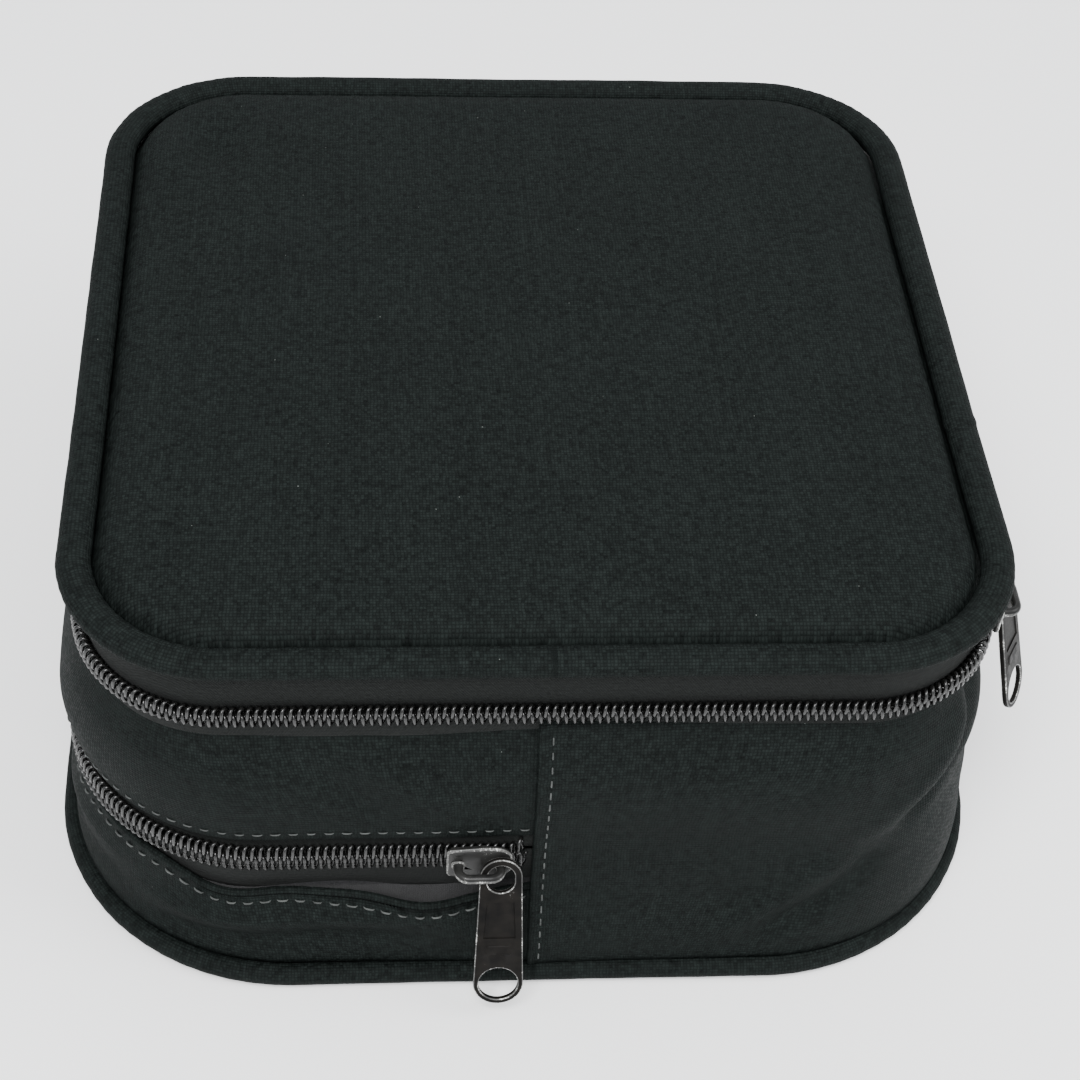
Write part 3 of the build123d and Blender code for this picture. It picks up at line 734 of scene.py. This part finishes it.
def lower_zip():
    zip_tape("lower_zip_lower_tape", LOW, -4, U_BACK + 4, LOWER_ZIP - 0.7, 20.5, "base",
             "lower_zip_tape_bottom", 1.2)
    zip_tape("lower_zip_upper_tape", LOW, -4, U_BACK + 4, LOWER_ZIP + 0.7, 42.0, "upper_case",
             "lower_zip_tape_top", 0.6)
    halves = (("base", "lower_zip_coil_bottom"), ("upper_case", "lower_zip_coil_top"))
    chain("lower_zip", LOW, 0.4, U_BACK - 0.4, LOWER_ZIP, halves, 5.0)


TAIL_FROM_FRONT = U_RIGHT_FRONT + 0.315 * ARC
TAIL_FROM_BACK = U_RIGHT_BACK - 0.315 * ARC
BAND_HALF = node_box("hinge_band")[1][1]
BAND_U = (U_RIGHT_BACK + U_RIGHT_FRONT) / 2


def main_zip():
    """The lid's zip runs from behind one end of the hinge band, round the front, to the other."""
    lower_u = (BAND_U + BAND_HALF - U_END, BAND_U - BAND_HALF)
    lid_u = (TAIL_FROM_FRONT - U_END, TAIL_FROM_BACK)
    zip_tape("main_zip_lower_tape", TOP, *lower_u, MAIN_ZIP - 0.7, 62.2, "upper_case",
             "main_zip_tape_lower", 0.6)
    zip_tape("main_zip_upper_tape", TOP, *lid_u, MAIN_ZIP + 0.7, LID_SEAM + 0.2, "lid", "main_zip_tape_upper")
    coil("main_zip_lower_coil", TOP, *lower_u, MAIN_ZIP - MAIN_HALF, MAIN_ZIP + LAP, 0.0, "upper_case",
         "main_zip_coil_lower")
    coil("main_zip_upper_coil", TOP, *lid_u, MAIN_ZIP + MAIN_HALF, MAIN_ZIP - LAP, 0.5, "lid",
         "main_zip_coil_upper")
    tails = {"front": (BAND_U + BAND_HALF, TAIL_FROM_FRONT), "back": (TAIL_FROM_BACK, BAND_U - BAND_HALF)}
    for end, (u0, u1) in tails.items():
        zip_tape(f"main_zip_{end}_tail_tape", TOP, u0, u1, MAIN_ZIP + 0.7, LID_SEAM - 0.4, "upper_case",
                 "main_zip_tail_tape")
        coil(f"main_zip_{end}_tail_coil", TOP, u0, u1, MAIN_ZIP + MAIN_HALF, MAIN_ZIP - LAP, 0.5,
             "upper_case", "main_zip_tail_coil")


def hinge_band():
    """The strip of case cloth that the lid folds on."""
    def line(z):
        def at(u):
            xy, n = outline(u, TOP, 0.0)
            puff = 0.5 * math.sin(math.pi * (z - 66.0) / 17.0)
            xy = xy + n * (puff + 0.25 * ripple(u, np.full(len(u), z), 21, 12))[:, None]
            return np.c_[xy, np.full(len(u), z)], np.c_[n, 0 * u]
        return at
    u = span(BAND_U - BAND_HALF, BAND_U + BAND_HALF, 1.0)
    lines = [line(z) for z in heights(MAIN_FOLD + 0.3, LID_SEAM + 0.5, 0.7)]
    band, area = cloth("hinge_band_cloth", u, lines, 0.6)
    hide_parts("hinge_band")
    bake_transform(band)


# ---- Lid ----------------------------------------------------------------------------------------
PANEL_EDGE = 4.5  # where the lid's cloth dives under its piping, in mm in from the outline


def piping_tube(name, size, z, inset, wide, tall, body, node, seed):
    """Cloth-covered cord with slight gathers round the corners and a join."""
    u = span(0, U_END, 0.9)[:-1]
    xy, n = outline(u, size, inset)
    straight = np.minimum.reduce([np.abs(wrapped(u, c)) for c in (STOPS[1] + ARC / 2, STOPS[3] + ARC / 2,
                                                                  STOPS[5] + ARC / 2, STOPS[7] + ARC / 2)])
    gather = bump(straight, 0, 26)
    wander = 0.25 * ripple(u, 0 * u, seed, 9) + 0.10 * ripple(u, 0 * u, seed + 1, 60)
    pleat = 0.020 * gather * np.sin(TAU * u / 3.4 + 2 * ripple(u, 0 * u, seed + 2, 30))
    join_at = bump(wrapped(u, U_RIGHT_FRONT - 30), 0, 1.0)
    radius = 1 + pleat + 0.015 * ripple(u, 0 * u, seed + 3, 70) + 0.07 * join_at
    path = np.c_[xy + n * wander[:, None] * 0.6, np.full(len(u), z) + 0.3 * wander]
    piece = tube(name, path, radius, OXFORD, 20, True, TAU * (wide + tall) / 2, (wide, tall))
    place(piece, body, FABRIC_SLOT, node)
    cord_path = np.c_[xy, np.full(len(u), z)]
    core = tube(node + "_filler", cord_path, PIPE * 0.52, CORD, 10, True)
    place(core, body, "piping_cord", node + "_cord")


def lid_height(xy, edge):
    """The padded top's height over the seam, from its place and how far in from its edge it is."""
    x, y = xy[:, 0], xy[:, 1]
    rise = 4.9 * (1 - np.exp(-edge / 1.7)) + 1.1 * smooth(edge / 62)
    dent = -1.8 * bump(x, -63, 5) * bump(y, 60, 8) + 1.1 * bump(x, -72, 4) * bump(y, 55, 10)
    dent += 0.5 * bump(x, -50, 8) * bump(y, 66, 9) - 0.35 * bump(x, 30, 22) * bump(y, -30, 26)
    dent += 0.35 * bump(x, 40, 30) * bump(y, 20, 22) + 0.30 * bump(x, -30, 25) * bump(y, -20, 30)
    wave = 0.14 * np.sin(x / 8.3 + 1.1 * np.sin(y / 15)) * np.sin(y / 11.1 + 0.6) * smooth(edge / 12)
    return rise + dent * smooth(edge / 5) + wave


def lid_panel():
    seam_z = LID_PIPE_Z - 1.5
    insets = np.r_[-1.3, -0.6, np.arange(0, 6, 0.4), np.arange(6, 21, 1.2)] + PANEL_EDGE
    u = span(0, U_END, 1.3)[:-1]

    def ring(inset, share=1.0):
        def at(places):
            xy, n = outline(places, TOP, inset)
            xy = xy * share
            edge = np.full(len(places), inset - PANEL_EDGE)
            inner = (1 - share) * np.linalg.norm(outline(places, TOP, inset)[0], axis=1)
            edge = np.maximum(edge, 0) + inner * 0.8
            gathers = np.sin(places / 0.9 + 3 * ripple(places, 0 * places, 31, 50))
            pucker = 0.10 * gathers * np.exp(-edge / 3.0)
            under = min(0.0, inset - PANEL_EDGE) * 0.7
            z = seam_z + under + lid_height(xy, edge) + pucker
            return np.c_[xy, z], np.tile([0, 0, 1.0], (len(places), 1))
        return at
    shares = np.linspace(1, 0, 56)[1:]
    lines = [ring(i) for i in insets] + [ring(insets[-1], s) for s in shares]
    panel, area = cloth("lid_top_cloth", u, lines, 0.6, closed=True, planar=True)
    place(panel, "lid", FABRIC_SLOT, "lid_cover")


# ---- Slabs: foam, boards and metal plates -------------------------------------------------------
def loop_of(size, inset, step=2.2, cx=0.0, cy=0.0, wobble=0.0, seed=1):
    """A rounded rectangle as (n, 2) points, with a slight wander of its edge."""
    w, d, r = size[0] / 2 - inset, size[1] / 2 - inset, max(size[2] - inset, 0.4)
    a, b = w - r, d - r
    count = max(4, int(math.pi / 2 * r / min(step, 1.2)))
    points = []
    for k, (sx, sy) in enumerate(((1, -1), (1, 1), (-1, 1), (-1, -1))):
        angle = math.radians(-90 + 90 * k) + np.linspace(0, math.pi / 2, count)
        points.append(np.c_[sx * a + r * np.cos(angle), sy * b + r * np.sin(angle)])
    p = np.concatenate(points)
    out = []
    for i in range(len(p)):
        q = p[(i + 1) % len(p)]
        n = max(1, int(np.linalg.norm(q - p[i]) / step))
        out += [p[i] + (q - p[i]) * k / n for k in range(n)]
    out = np.array(out)
    if wobble:
        phase = np.random.default_rng(seed).uniform(0, TAU, 3)
        t = TAU * np.arange(len(out)) / len(out)
        push = sum(np.sin(t * f + ph) for f, ph in zip((5, 9, 14), phase)) * wobble / 3
        out = out + loop_normals(out) * push[:, None]
    return out + [cx, cy]


def circle_loop(r, cx, cy, count=40, stretch=0.0):
    t = TAU * np.arange(count) / count
    y = r * np.sin(t)
    return np.c_[cx + r * np.cos(t), cy + y + np.where(y > 0, stretch / 2, -stretch / 2)]


def loop_normals(p):
    """Outward normals of a loop that runs anticlockwise."""
    t = np.roll(p, -1, 0) - np.roll(p, 1, 0)
    n = np.c_[t[:, 1], -t[:, 0]]
    return n / np.linalg.norm(n, axis=1)[:, None]


class Solid:
    """Collects strips and triangulated faces of one closed piece."""

    def __init__(self):
        self.points, self.faces, self.slots = [], [], []

    def strip(self, a, za, b, zb, slot=0):
        start, n = len(self.points), len(a)
        self.points += [(*p, za) for p in a] + [(*p, zb) for p in b]
        for i in range(n):
            j = (i + 1) % n
            self.faces.append([start + i, start + j, start + n + j, start + n + i])
            self.slots.append(slot)

    def flat(self, outer, holes, z, slot=0):
        points, edges = [], []
        for loop in [outer] + list(holes):
            start, n = len(points), len(loop)
            points += [Vector(p) for p in loop]
            edges += [(start + i, start + (i + 1) % n) for i in range(n)]
        made, _, tris, *_ = delaunay_2d_cdt(points, edges, [], 0, 1e-6)
        start = len(self.points)
        self.points += [(p[0], p[1], z) for p in made]
        for tri in tris:
            c = sum((Vector(made[i]) for i in tri), Vector((0, 0))) / len(tri)
            if inside(c, outer) and not any(inside(c, h) for h in holes):
                self.faces.append([start + i for i in tri])
                self.slots.append(slot)

    def finish(self, name, materials, where=None, angle=38):
        points = np.array(self.points, float)
        if where is not None:
            points = where(points)
        obj = mesh_object(name, points, self.faces, materials, points[:, :2], self.slots)
        bm = bmesh.new()
        bm.from_mesh(obj.data)
        bmesh.ops.remove_doubles(bm, verts=bm.verts, dist=2e-6)
        bmesh.ops.recalc_face_normals(bm, faces=bm.faces)
        bm.to_mesh(obj.data)
        bm.free()
        obj.data.set_sharp_from_angle(angle=math.radians(angle))
        return obj


def inside(c, loop):
    x, y = loop[:, 0], loop[:, 1]
    x1, y1 = np.roll(x, -1), np.roll(y, -1)
    crosses = (y > c[1]) != (y1 > c[1])
    at = x + (c[1] - y) / np.where(y1 == y, 1e-12, y1 - y) * (x1 - x)
    return bool(np.sum(crosses & (c[0] < at)) % 2)


def slab(name, outer, holes, z0, z1, bevel, materials):
    """A flat piece with rounded edges top and bottom, round its outside and its holes."""
    solid = Solid()
    loops = [(outer, -1)] + [(h, 1) for h in holes]
    angles = np.linspace(0, math.pi / 2, 4)
    tops = []
    for loop, way in loops:
        n = loop_normals(loop)
        rings = [(loop + n * way * bevel * (1 - math.cos(a)), bevel * (1 - math.sin(a))) for a in angles]
        for (a, da), (b, db) in zip(rings, rings[1:]):
            solid.strip(a, z1 - da, b, z1 - db)
            solid.strip(a, z0 + da, b, z0 + db)
        solid.strip(loop, z0 + bevel, loop, z1 - bevel)
        tops.append(rings[-1][0])
    solid.flat(tops[0], tops[1:], z1)
    solid.flat(tops[0], tops[1:], z0)
    return solid.finish(name, materials)


def foam_piece(name, node, outer, holes, z0, z1, body, bevel=0.9, slot="foam", material=None, soft=True):
    piece = slab(name, outer, holes, z0, z1, bevel, [material or FOAM])
    place(piece, body, slot, node)


def flat_cloth(name, node, size, inset, z, thickness, body, slot, material):
    """A cut of cloth or lining that lies flat inside the case."""
    def ring(place_inset, share=1.0):
        def at(u):
            xy = outline(u, size, place_inset)[0] * share
            sag = 0.12 * np.sin(xy[:, 0] / 9.0) * np.sin(xy[:, 1] / 12.0)
            height = np.full(len(u), z + thickness) - 0.1 + sag * 0.4
            return np.c_[xy, height], np.tile([0, 0, 1.0], (len(u), 1))
        return at
    u = span(0, U_END, 2.5)[:-1]
    lines = [ring(inset)] + [ring(inset + 3, s) for s in np.linspace(1, 0, 20)]
    piece, area = cloth(name, u, lines, thickness * 0.8, material, closed=True, planar=True)
    place(piece, body, slot, node)


def wall_lining(name, node, size, inset, z0, z1, body, slot, material):
    """A lining that stands against the wall."""
    def line(z):
        def at(u):
            xy, n = outline(u, size, inset + 0.1)
            xy = xy - n * (0.1 + 0.1 * np.sin(u / 6.0 + z / 5.0))[:, None]
            return np.c_[xy, np.full(len(u), z)], np.c_[n, 0 * u]
        return at
    u = span(0, U_END, 2.0)[:-1]
    piece, area = cloth(name, u, [line(z) for z in heights(z0, z1, 2.5)], 0.45, material, closed=True)
    place(piece, body, slot, node)


def z_range(node):
    lo, hi = node_box(node)
    return lo[2], hi[2]


def inset_of(node, size):
    lo, _ = node_box(node)
    return size[0] / 2 + lo[0]


def insides():
    tray = z_range("foam_tray")
    pockets = []
    for cx in (-57, -19, 19, 57):
        for cy in (-50, 0, 50):
            pockets.append(loop_of((32, 44, 5), 0, 2.2, cx, cy, 0.25, cx + 7 * cy + 1000))
    outer = loop_of(TOP, inset_of("foam_tray", TOP), wobble=0.2, seed=3)
    foam_piece("pocketed_foam", "foam_tray", outer, pockets, *tray, "upper_case", 0.8)
    foam_piece("tray_base_foam", "tray_floor", outer, [], *z_range("tray_floor"), "upper_case", 0.8)
    wall_in = inset_of("wall_foam", TOP)
    lining_in = inset_of("case_lining", TOP)
    foam_piece("wall_padding", "wall_foam", loop_of(TOP, wall_in + 0.05), [loop_of(TOP, lining_in - 0.15)],
               *z_range("wall_foam"), "upper_case", 0.6)
    wall_lining("case_wall_lining", "case_lining", TOP, lining_in, *z_range("case_lining"), "upper_case",
                "lining_fabric", LINING)
    wall_lining("lower_wall_lining", "lower_lining", LOW, inset_of("lower_lining", LOW),
                *z_range("lower_lining"), "base", "lining_fabric", LINING)
    pad = loop_of(TOP, inset_of("lid_pad", TOP), wobble=0.2, seed=9)
    foam_piece("lid_holding_pad", "lid_pad", pad, [], *z_range("lid_pad"), "lid", 1.0)
    foam_piece("lid_padding", "lid_foam", loop_of(TOP, inset_of("lid_foam", TOP) + 5.2), [],
               z_range("lid_foam")[0], z_range("lid_foam")[1] - 3.2, "lid", 1.4)
    boards = (("lid_board", TOP, "lid", 4.0), ("divider_board", TOP, "upper_case", 0),
              ("base_board", BASE, "base", 0))
    for node, size, body, room in boards:
        inset = inset_of(node, size) + room
        foam_piece(node + "_sheet", node, loop_of(size, inset), [], *z_range(node), body, 0.3, "board",
                   BOARD, False)
    cloths = (
        ("lid_inner_lining", "lid_lining", TOP, 0.6, "lid", LINING, ["lid_board_sheet"]),
        ("divider_top_cloth", "divider_cover", TOP, 0.6, "upper_case", LINING, ["divider_board_sheet"]),
        ("divider_under_cloth", "divider_underlay", LOW, 0.6, "upper_case", LINING, []),
        ("base_inner_lining", "base_lining", BASE, 0.6, "base", LINING, ["base_board_sheet"]),
        ("underside_cloth", "base_cover", BASE, 0.8, "base", OXFORD, []),
    )
    for name, node, size, thickness, body, material, rests_on in cloths:
        slot = FABRIC_SLOT if material is OXFORD else "lining_fabric"
        flat_cloth(name, node, size, inset_of(node, size), z_range(node)[0], thickness, body, slot, material)
    binding()


def binding():
    """The folded tape that binds the raw seam inside the lid."""
    def line(angle):
        def at(u):
            xy, n = outline(u, TOP, 3.1 - 0.55 * math.cos(angle))
            z = z_mid + 1.35 * math.sin(angle) + 0.1 * ripple(u, 0 * u, 41, 20)
            return np.c_[xy, z], np.c_[n * math.cos(angle), np.full(len(u), math.sin(angle))]
        return at
    z_mid = sum(z_range("lid_binding")) / 2
    u = span(TAIL_FROM_FRONT - U_END, TAIL_FROM_BACK, 1.6)
    angles = np.linspace(math.radians(80), math.radians(-260), 18)
    piece, area = cloth("lid_seam_binding", u, [line(a) for a in angles], 0.25, TAPE)
    place(piece, "lid", FABRIC_SLOT, "lid_binding")


# ---- Sliders and pull tabs ----------------------------------------------------------------------
PLATE_HALF = 6.2  # half a slider's length, in mm
BAIL_END, BAIL_BEND, BAIL_R = 4.0, 2.0, 0.9


class Frame:
    """A slider's own axes: x along the chain, y up, z out of the wall. All in mm."""

    def __init__(self, origin, x, z):
        self.origin, self.x, self.z = (np.array(v, float) for v in (origin, x, z))
        self.y = np.cross(self.z, self.x)

    def __call__(self, points):
        p = np.asarray(points, float)
        return self.origin + p[..., :1] * self.x + p[..., 1:2] * self.y + p[..., 2:3] * self.z


def plate_loop(scale_in=0.0):
    """A slider plate's outline: wide shoulders ahead of a narrower tail, on rounded corners."""
    half = [(-PLATE_HALF, 3.8), (1.5, 4.5), (4.4, 4.1), (PLATE_HALF, 2.4)]
    corners = np.array(half + [(x, -y) for x, y in reversed(half)])[::-1]
    rounded = []
    for i, c in enumerate(corners):
        a, b = corners[i - 1] - c, corners[(i + 1) % len(corners)] - c
        a, b = a / np.linalg.norm(a), b / np.linalg.norm(b)
        for t in np.linspace(0, 1, 6):
            rounded.append(c + (a * (1 - t) ** 2 + b * t ** 2) * 1.15)
    loop = np.array(rounded)
    return loop + loop_normals(loop) * -scale_in


def rings(name, levels, where, materials, slots=None):
    """A closed piece from a stack of loops (points, height), the first and last of them capped."""
    solid = Solid()
    for k, ((a, za), (b, zb)) in enumerate(zip(levels, levels[1:])):
        solid.strip(a, za, b, zb, slots[k] if slots else 0)
    for loop, z in (levels[0], levels[-1]):
        solid.flat(loop, [], z)
    return solid.finish(name, materials, where)


def slider(prefix, frame_at, body):
    """A cast slider: crowned face plate with side lips, neck, back plate and a bail of round wire."""
    face = 0.25 + COIL_PROUD
    back = -(TAPE_INSET + 0.6 + 0.85) - 1.0
    crown = [(plate_loop(0.25), face + 0.02), (plate_loop(0.0), face + 0.25), (plate_loop(0.0), face + 0.62),
             (plate_loop(0.12), face + 0.85), (plate_loop(0.38), face + 1.0), (plate_loop(1.1), face + 1.06),
             (plate_loop(2.0), face + 1.14), (plate_loop(2.8), face + 1.2)]
    metals = [SLIDER_METAL, EDGE_WEAR_AND_HIGHLIGHT]
    # The crown's rounded rim takes the lighter edge enamel: wear and painted highlight.
    front = rings(f"{prefix}_face_plate", crown, frame_at, metals, [0, 0, 1, 1, 0, 0, 0])
    rear_levels = [(plate_loop(0.3), back), (plate_loop(0.0), back + 0.3), (plate_loop(0.0), back + 0.75),
                   (plate_loop(0.25), back + 1.0)]
    rear = rings(f"{prefix}_back_plate", rear_levels, frame_at, metals)
    post = loop_of((4.6, 0.66, 0.3), 0, 0.5, 3.0, 0.0)
    neck = rings(f"{prefix}_neck", [(post, back + 0.9), (post, face + 0.2)], frame_at, metals)
    pieces = [front, rear, neck]
    for side in (-1, 1):
        lip = np.array([(x, side * y) for x, y in ((-5.4, 3.75), (1.2, 4.3), (1.2, 3.95), (-5.4, 3.4))])
        lip = lip[::-1] if side > 0 else lip
        levels = [(lip, face - 0.12), (lip, face + 0.5)]
        pieces.append(rings(f"{prefix}_lip_{'upper' if side > 0 else 'lower'}", levels, frame_at, metals))
    base = face + 1.0
    for end in (-1, 1):
        lug = loop_of((2.6, 2.5, 0.8), 0, 0.5, end * BAIL_END, 0.0)
        lug_in = loop_of((2.6, 2.5, 0.8), 0.35, 0.5, end * BAIL_END, 0.0)
        levels = [(lug, base - 0.4), (lug, base + 0.25), (lug_in, base + 0.55)]
        where = "nose" if end > 0 else "tail"
        # Each lug's top bevel takes the lighter edge enamel: wear and painted highlight.
        pieces.append(rings(f"{prefix}_lug_{where}", levels, frame_at, metals, [0, 1]))
    for piece in pieces:
        place(piece, body, "slider_metal")
    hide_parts(f"{prefix}_body")
    bend = np.linspace(0, math.pi / 2, 9)
    straight, bend_z = BAIL_END - BAIL_BEND, base + 1.5
    arch = [(-BAIL_END, base - 0.2), (-BAIL_END, base + 0.6)]
    arch += [(-straight - BAIL_BEND * math.cos(a), bend_z + BAIL_BEND * math.sin(a)) for a in bend]
    arch += [(x, bend_z + BAIL_BEND) for x in (-1.0, 0.0, 1.0)]
    arch += [(straight + BAIL_BEND * math.sin(a), bend_z + BAIL_BEND * math.cos(a)) for a in bend]
    arch += [(BAIL_END, base + 0.6), (BAIL_END, base - 0.2)]
    path = frame_at(np.array([(x, 0.0, z) for x, z in arch]))
    flare = np.array([BAIL_R + 0.22 * max(0.0, 1 - (z - base + 0.2) / 1.2) for _, z in arch])
    bail = tube(f"{prefix}_bail_wire", path, flare, SLIDER_METAL, 16, False, caps=True)
    bail.data.materials.append(EDGE_WEAR_AND_HIGHLIGHT)
    # A stripe along the middle of the bail's wire takes the lighter edge enamel: wear and painted highlight.
    middle, across = frame_at.origin.dot(frame_at.y), Vector(frame_at.y)
    worn_and_highlit = [int(abs(p.center.dot(across) / MM - middle) < 0.45) for p in bail.data.polygons]
    bail.data.polygons.foreach_set("material_index", worn_and_highlit)
    place(bail, body, "slider_metal", f"{prefix}_bail")


EYE = (4.0, 2.6, 1.0)  # radius, hole radius, stretch
EYE_ROOM = 0.55
EYE_DROP = EYE[1] - BAIL_R - EYE_ROOM
TIP_R, TIP_HOLE_R, REACH, PULL_T = 4.8, 3.8, 26.3, 1.1


def tab_loop(shrink=0.0):
    """The tab's outline: an eye end and a wider round tip, joined by straight sides."""
    r0, r1, length = EYE[0] - shrink, TIP_R - shrink, REACH - EYE_DROP
    tilt = math.asin((r1 - r0) / length)
    top = np.linspace(-tilt, math.pi + tilt, 26)
    low = np.linspace(math.pi + tilt, TAU - tilt, 26)
    eye = np.c_[r0 * np.cos(top), -EYE_DROP + r0 * np.sin(top)]
    tip = np.c_[r1 * np.cos(low), -REACH + r1 * np.sin(low)]
    sides = np.linspace(0, 1, 9)[1:-1, None]
    left = eye[-1] + (tip[0] - eye[-1]) * sides
    right = tip[-1] + (eye[0] - tip[-1]) * sides
    return np.concatenate([eye, left, tip, right])


def pull_tab(name, node, pivot, normal, lean, body):
    """A tapered tab with bevelled edges, an eye, a round hole in its tip and a sunk panel on its face."""
    normal = np.array(normal, float)
    x = np.cross([0, 0, 1.0], normal)
    a = math.radians(lean)
    out = normal * math.cos(a) + np.array([0, 0, 1.0]) * math.sin(a)
    down = Frame(pivot, x, out)
    eye = circle_loop(EYE[1], 0, -EYE_DROP - EYE[2] / 2, 40, EYE[2])
    hole = circle_loop(TIP_HOLE_R, 0, -REACH, 44)
    half, bevel = PULL_T / 2, 0.20
    solid = Solid()
    steps = np.linspace(0, math.pi / 2, 4)
    outer_rings = [(tab_loop(bevel * (1 - math.cos(s))), bevel * (1 - math.sin(s))) for s in steps]
    hole_rings = [[(loop + loop_normals(loop) * bevel * (1 - math.cos(s)), bevel * (1 - math.sin(s)))
                   for s in steps] for loop in (eye, hole)]
    # The bevels take the lighter edge enamel: painted highlight along the chamfers, with wear.
    for levels in [outer_rings] + hole_rings:
        for (p, dp), (q, dq) in zip(levels, levels[1:]):
            solid.strip(p, half - dp, q, half - dq, 1)
            solid.strip(p, -half + dp, q, -half + dq, 1)
        solid.strip(levels[0][0], half - bevel, levels[0][0], -half + bevel, 0)
    edge = [r[-1][0] for r in [outer_rings] + hole_rings]
    sunk = np.array([(-3.1, -15.4), (3.1, -15.4), (2.6, -7.0), (-2.6, -7.0)])
    sunk_floor = sunk * [0.95, 1.0]
    rise = loop_of((5.4, 2.2, 0.4), 0, 0.6, 0, -18.2)
    rise_in = loop_of((5.4, 2.2, 0.4), 0.18, 0.6, 0, -18.2)
    solid.flat(edge[0], [edge[1], edge[2], sunk, rise], half)
    solid.strip(sunk, half, sunk_floor, half - 0.22)
    solid.flat(sunk_floor, [], half - 0.22)
    solid.strip(rise, half, rise_in, half + 0.16)
    solid.flat(rise_in, [], half + 0.16)
    solid.flat(edge[0], edge[1:], -half)
    tab = solid.finish(name, [PULL_METAL, EDGE_WEAR_AND_HIGHLIGHT], down)
    place(tab, body, "pull_metal", node)


def hardware():
    low_lo, low_hi = node_box("lower_slider_body")
    lower = Frame(((low_lo[0] + low_hi[0]) / 2, -LOW[1] / 2, LOWER_ZIP), (1, 0, 0), (0, -1, 0))
    slider("lower_slider", lower, "lower_slider")
    main_lo, main_hi = node_box("main_slider_body")
    main = Frame((TOP[0] / 2, (main_lo[1] + main_hi[1]) / 2, MAIN_ZIP), (0, 1, 0), (1, 0, 0))
    slider("main_slider", main, "main_slider")
    plate_top = 0.25 + COIL_PROUD + 1.0
    lower_pivot = lower([BAIL_END, 0, plate_top + 1.7])
    pull_tab("lower_pull_tab", "lower_pull", lower_pivot, (0, -1, 0), 17.0, "lower_pull")
    round_bend = math.radians(60)
    straight = BAIL_END - BAIL_BEND
    main_pivot = main([straight + BAIL_BEND * math.sin(round_bend), 0,
                       plate_top + 1.5 + BAIL_BEND * math.cos(round_bend)])
    normal = (math.cos(math.radians(30)), -math.sin(math.radians(30)), 0)
    pull_tab("main_pull_tab", "main_pull", main_pivot, normal, 15.0, "main_pull")


# ---- Stage --------------------------------------------------------------------------------------
def floor():
    mesh = bpy.data.meshes.new("floor")
    s = 6.0
    mesh.from_pydata([(-s, -s, 0), (s, -s, 0), (s, s, 0), (-s, s, 0)], [], [(0, 1, 2, 3)])
    m = Nodes("pale_floor")
    n = object_noise(m, 3.0)
    m.put(m.bsdf.inputs["Base Color"], m.mix(n, rgb(0.90, 0.90, 0.90), rgb(0.93, 0.93, 0.93)))
    m.bsdf.inputs["Roughness"].default_value = 0.6
    mesh.materials.append(m.material)
    obj = bpy.data.objects.new("floor", mesh)
    bpy.context.scene.collection.objects.link(obj)


def area_light(name, where, size, power, colour=(1, 1, 1)):
    data = bpy.data.lights.new(name, "AREA")
    data.shape, data.size, data.energy, data.color = "SQUARE", size, power, colour
    obj = bpy.data.objects.new(name, data)
    obj.location = where
    obj.rotation_euler = (Vector((0, 0, 0.04)) - Vector(where)).to_track_quat("-Z", "Y").to_euler()
    bpy.context.scene.collection.objects.link(obj)


def camera():
    """The photograph's viewpoint: its heading, height and roll, in degrees, and its distance."""
    yaw, elevation, roll, distance = math.radians(6.53), math.radians(45.18), math.radians(4.34), 0.5151
    look = Vector((0, math.cos(elevation), -math.sin(elevation)))
    right, up = Vector((1, 0, 0)), Vector((0, math.sin(elevation), math.cos(elevation)))
    across = right * math.cos(roll) + up * math.sin(roll)
    over = up * math.cos(roll) - right * math.sin(roll)
    turn = Matrix.Rotation(-yaw, 3, "Z")
    across, over, look = turn @ across, turn @ over, turn @ look
    aim = across * 0.00771 + over * 0.01878
    data = bpy.data.cameras.new("camera")
    data.lens, data.sensor_width = 75.8, 36.0
    data.clip_start, data.clip_end = 0.01, 50.0
    obj = bpy.data.objects.new("camera", data)
    axes = Matrix((across, over, -look)).transposed().to_4x4()
    obj.matrix_world = Matrix.Translation(aim - look * distance) @ axes
    bpy.context.scene.collection.objects.link(obj)
    bpy.context.scene.camera = obj


def lights():
    world = bpy.data.worlds.new("studio")
    bpy.context.scene.world = world
    world.use_nodes = True
    world.node_tree.nodes["Background"].inputs["Color"].default_value = rgb(0.95, 0.97, 1.0)
    world.node_tree.nodes["Background"].inputs["Strength"].default_value = 1.25
    area_light("key", (-0.25, -0.75, 1.25), 0.7, 36)
    area_light("fill", (0.95, -0.25, 0.9), 0.8, 13)
    area_light("back", (0.1, 0.9, 1.2), 0.8, 3)


lower_left_panel()
upper_left_panel()
lower_zip()
main_zip()
piping_tube("lid_piping_cloth", TOP, LID_PIPE_Z, 1.0, 3.2, 2.3, "lid", "lid_piping", 51)
piping_tube("base_piping_cloth", BASE, BASE_PIPE_Z, 0.0, 2.2, 2.2, "base", "base_piping", 61)
lid_panel()
insides()
hardware()
hinge_side_panel()
hinge_band()
floor()
lights()
camera()
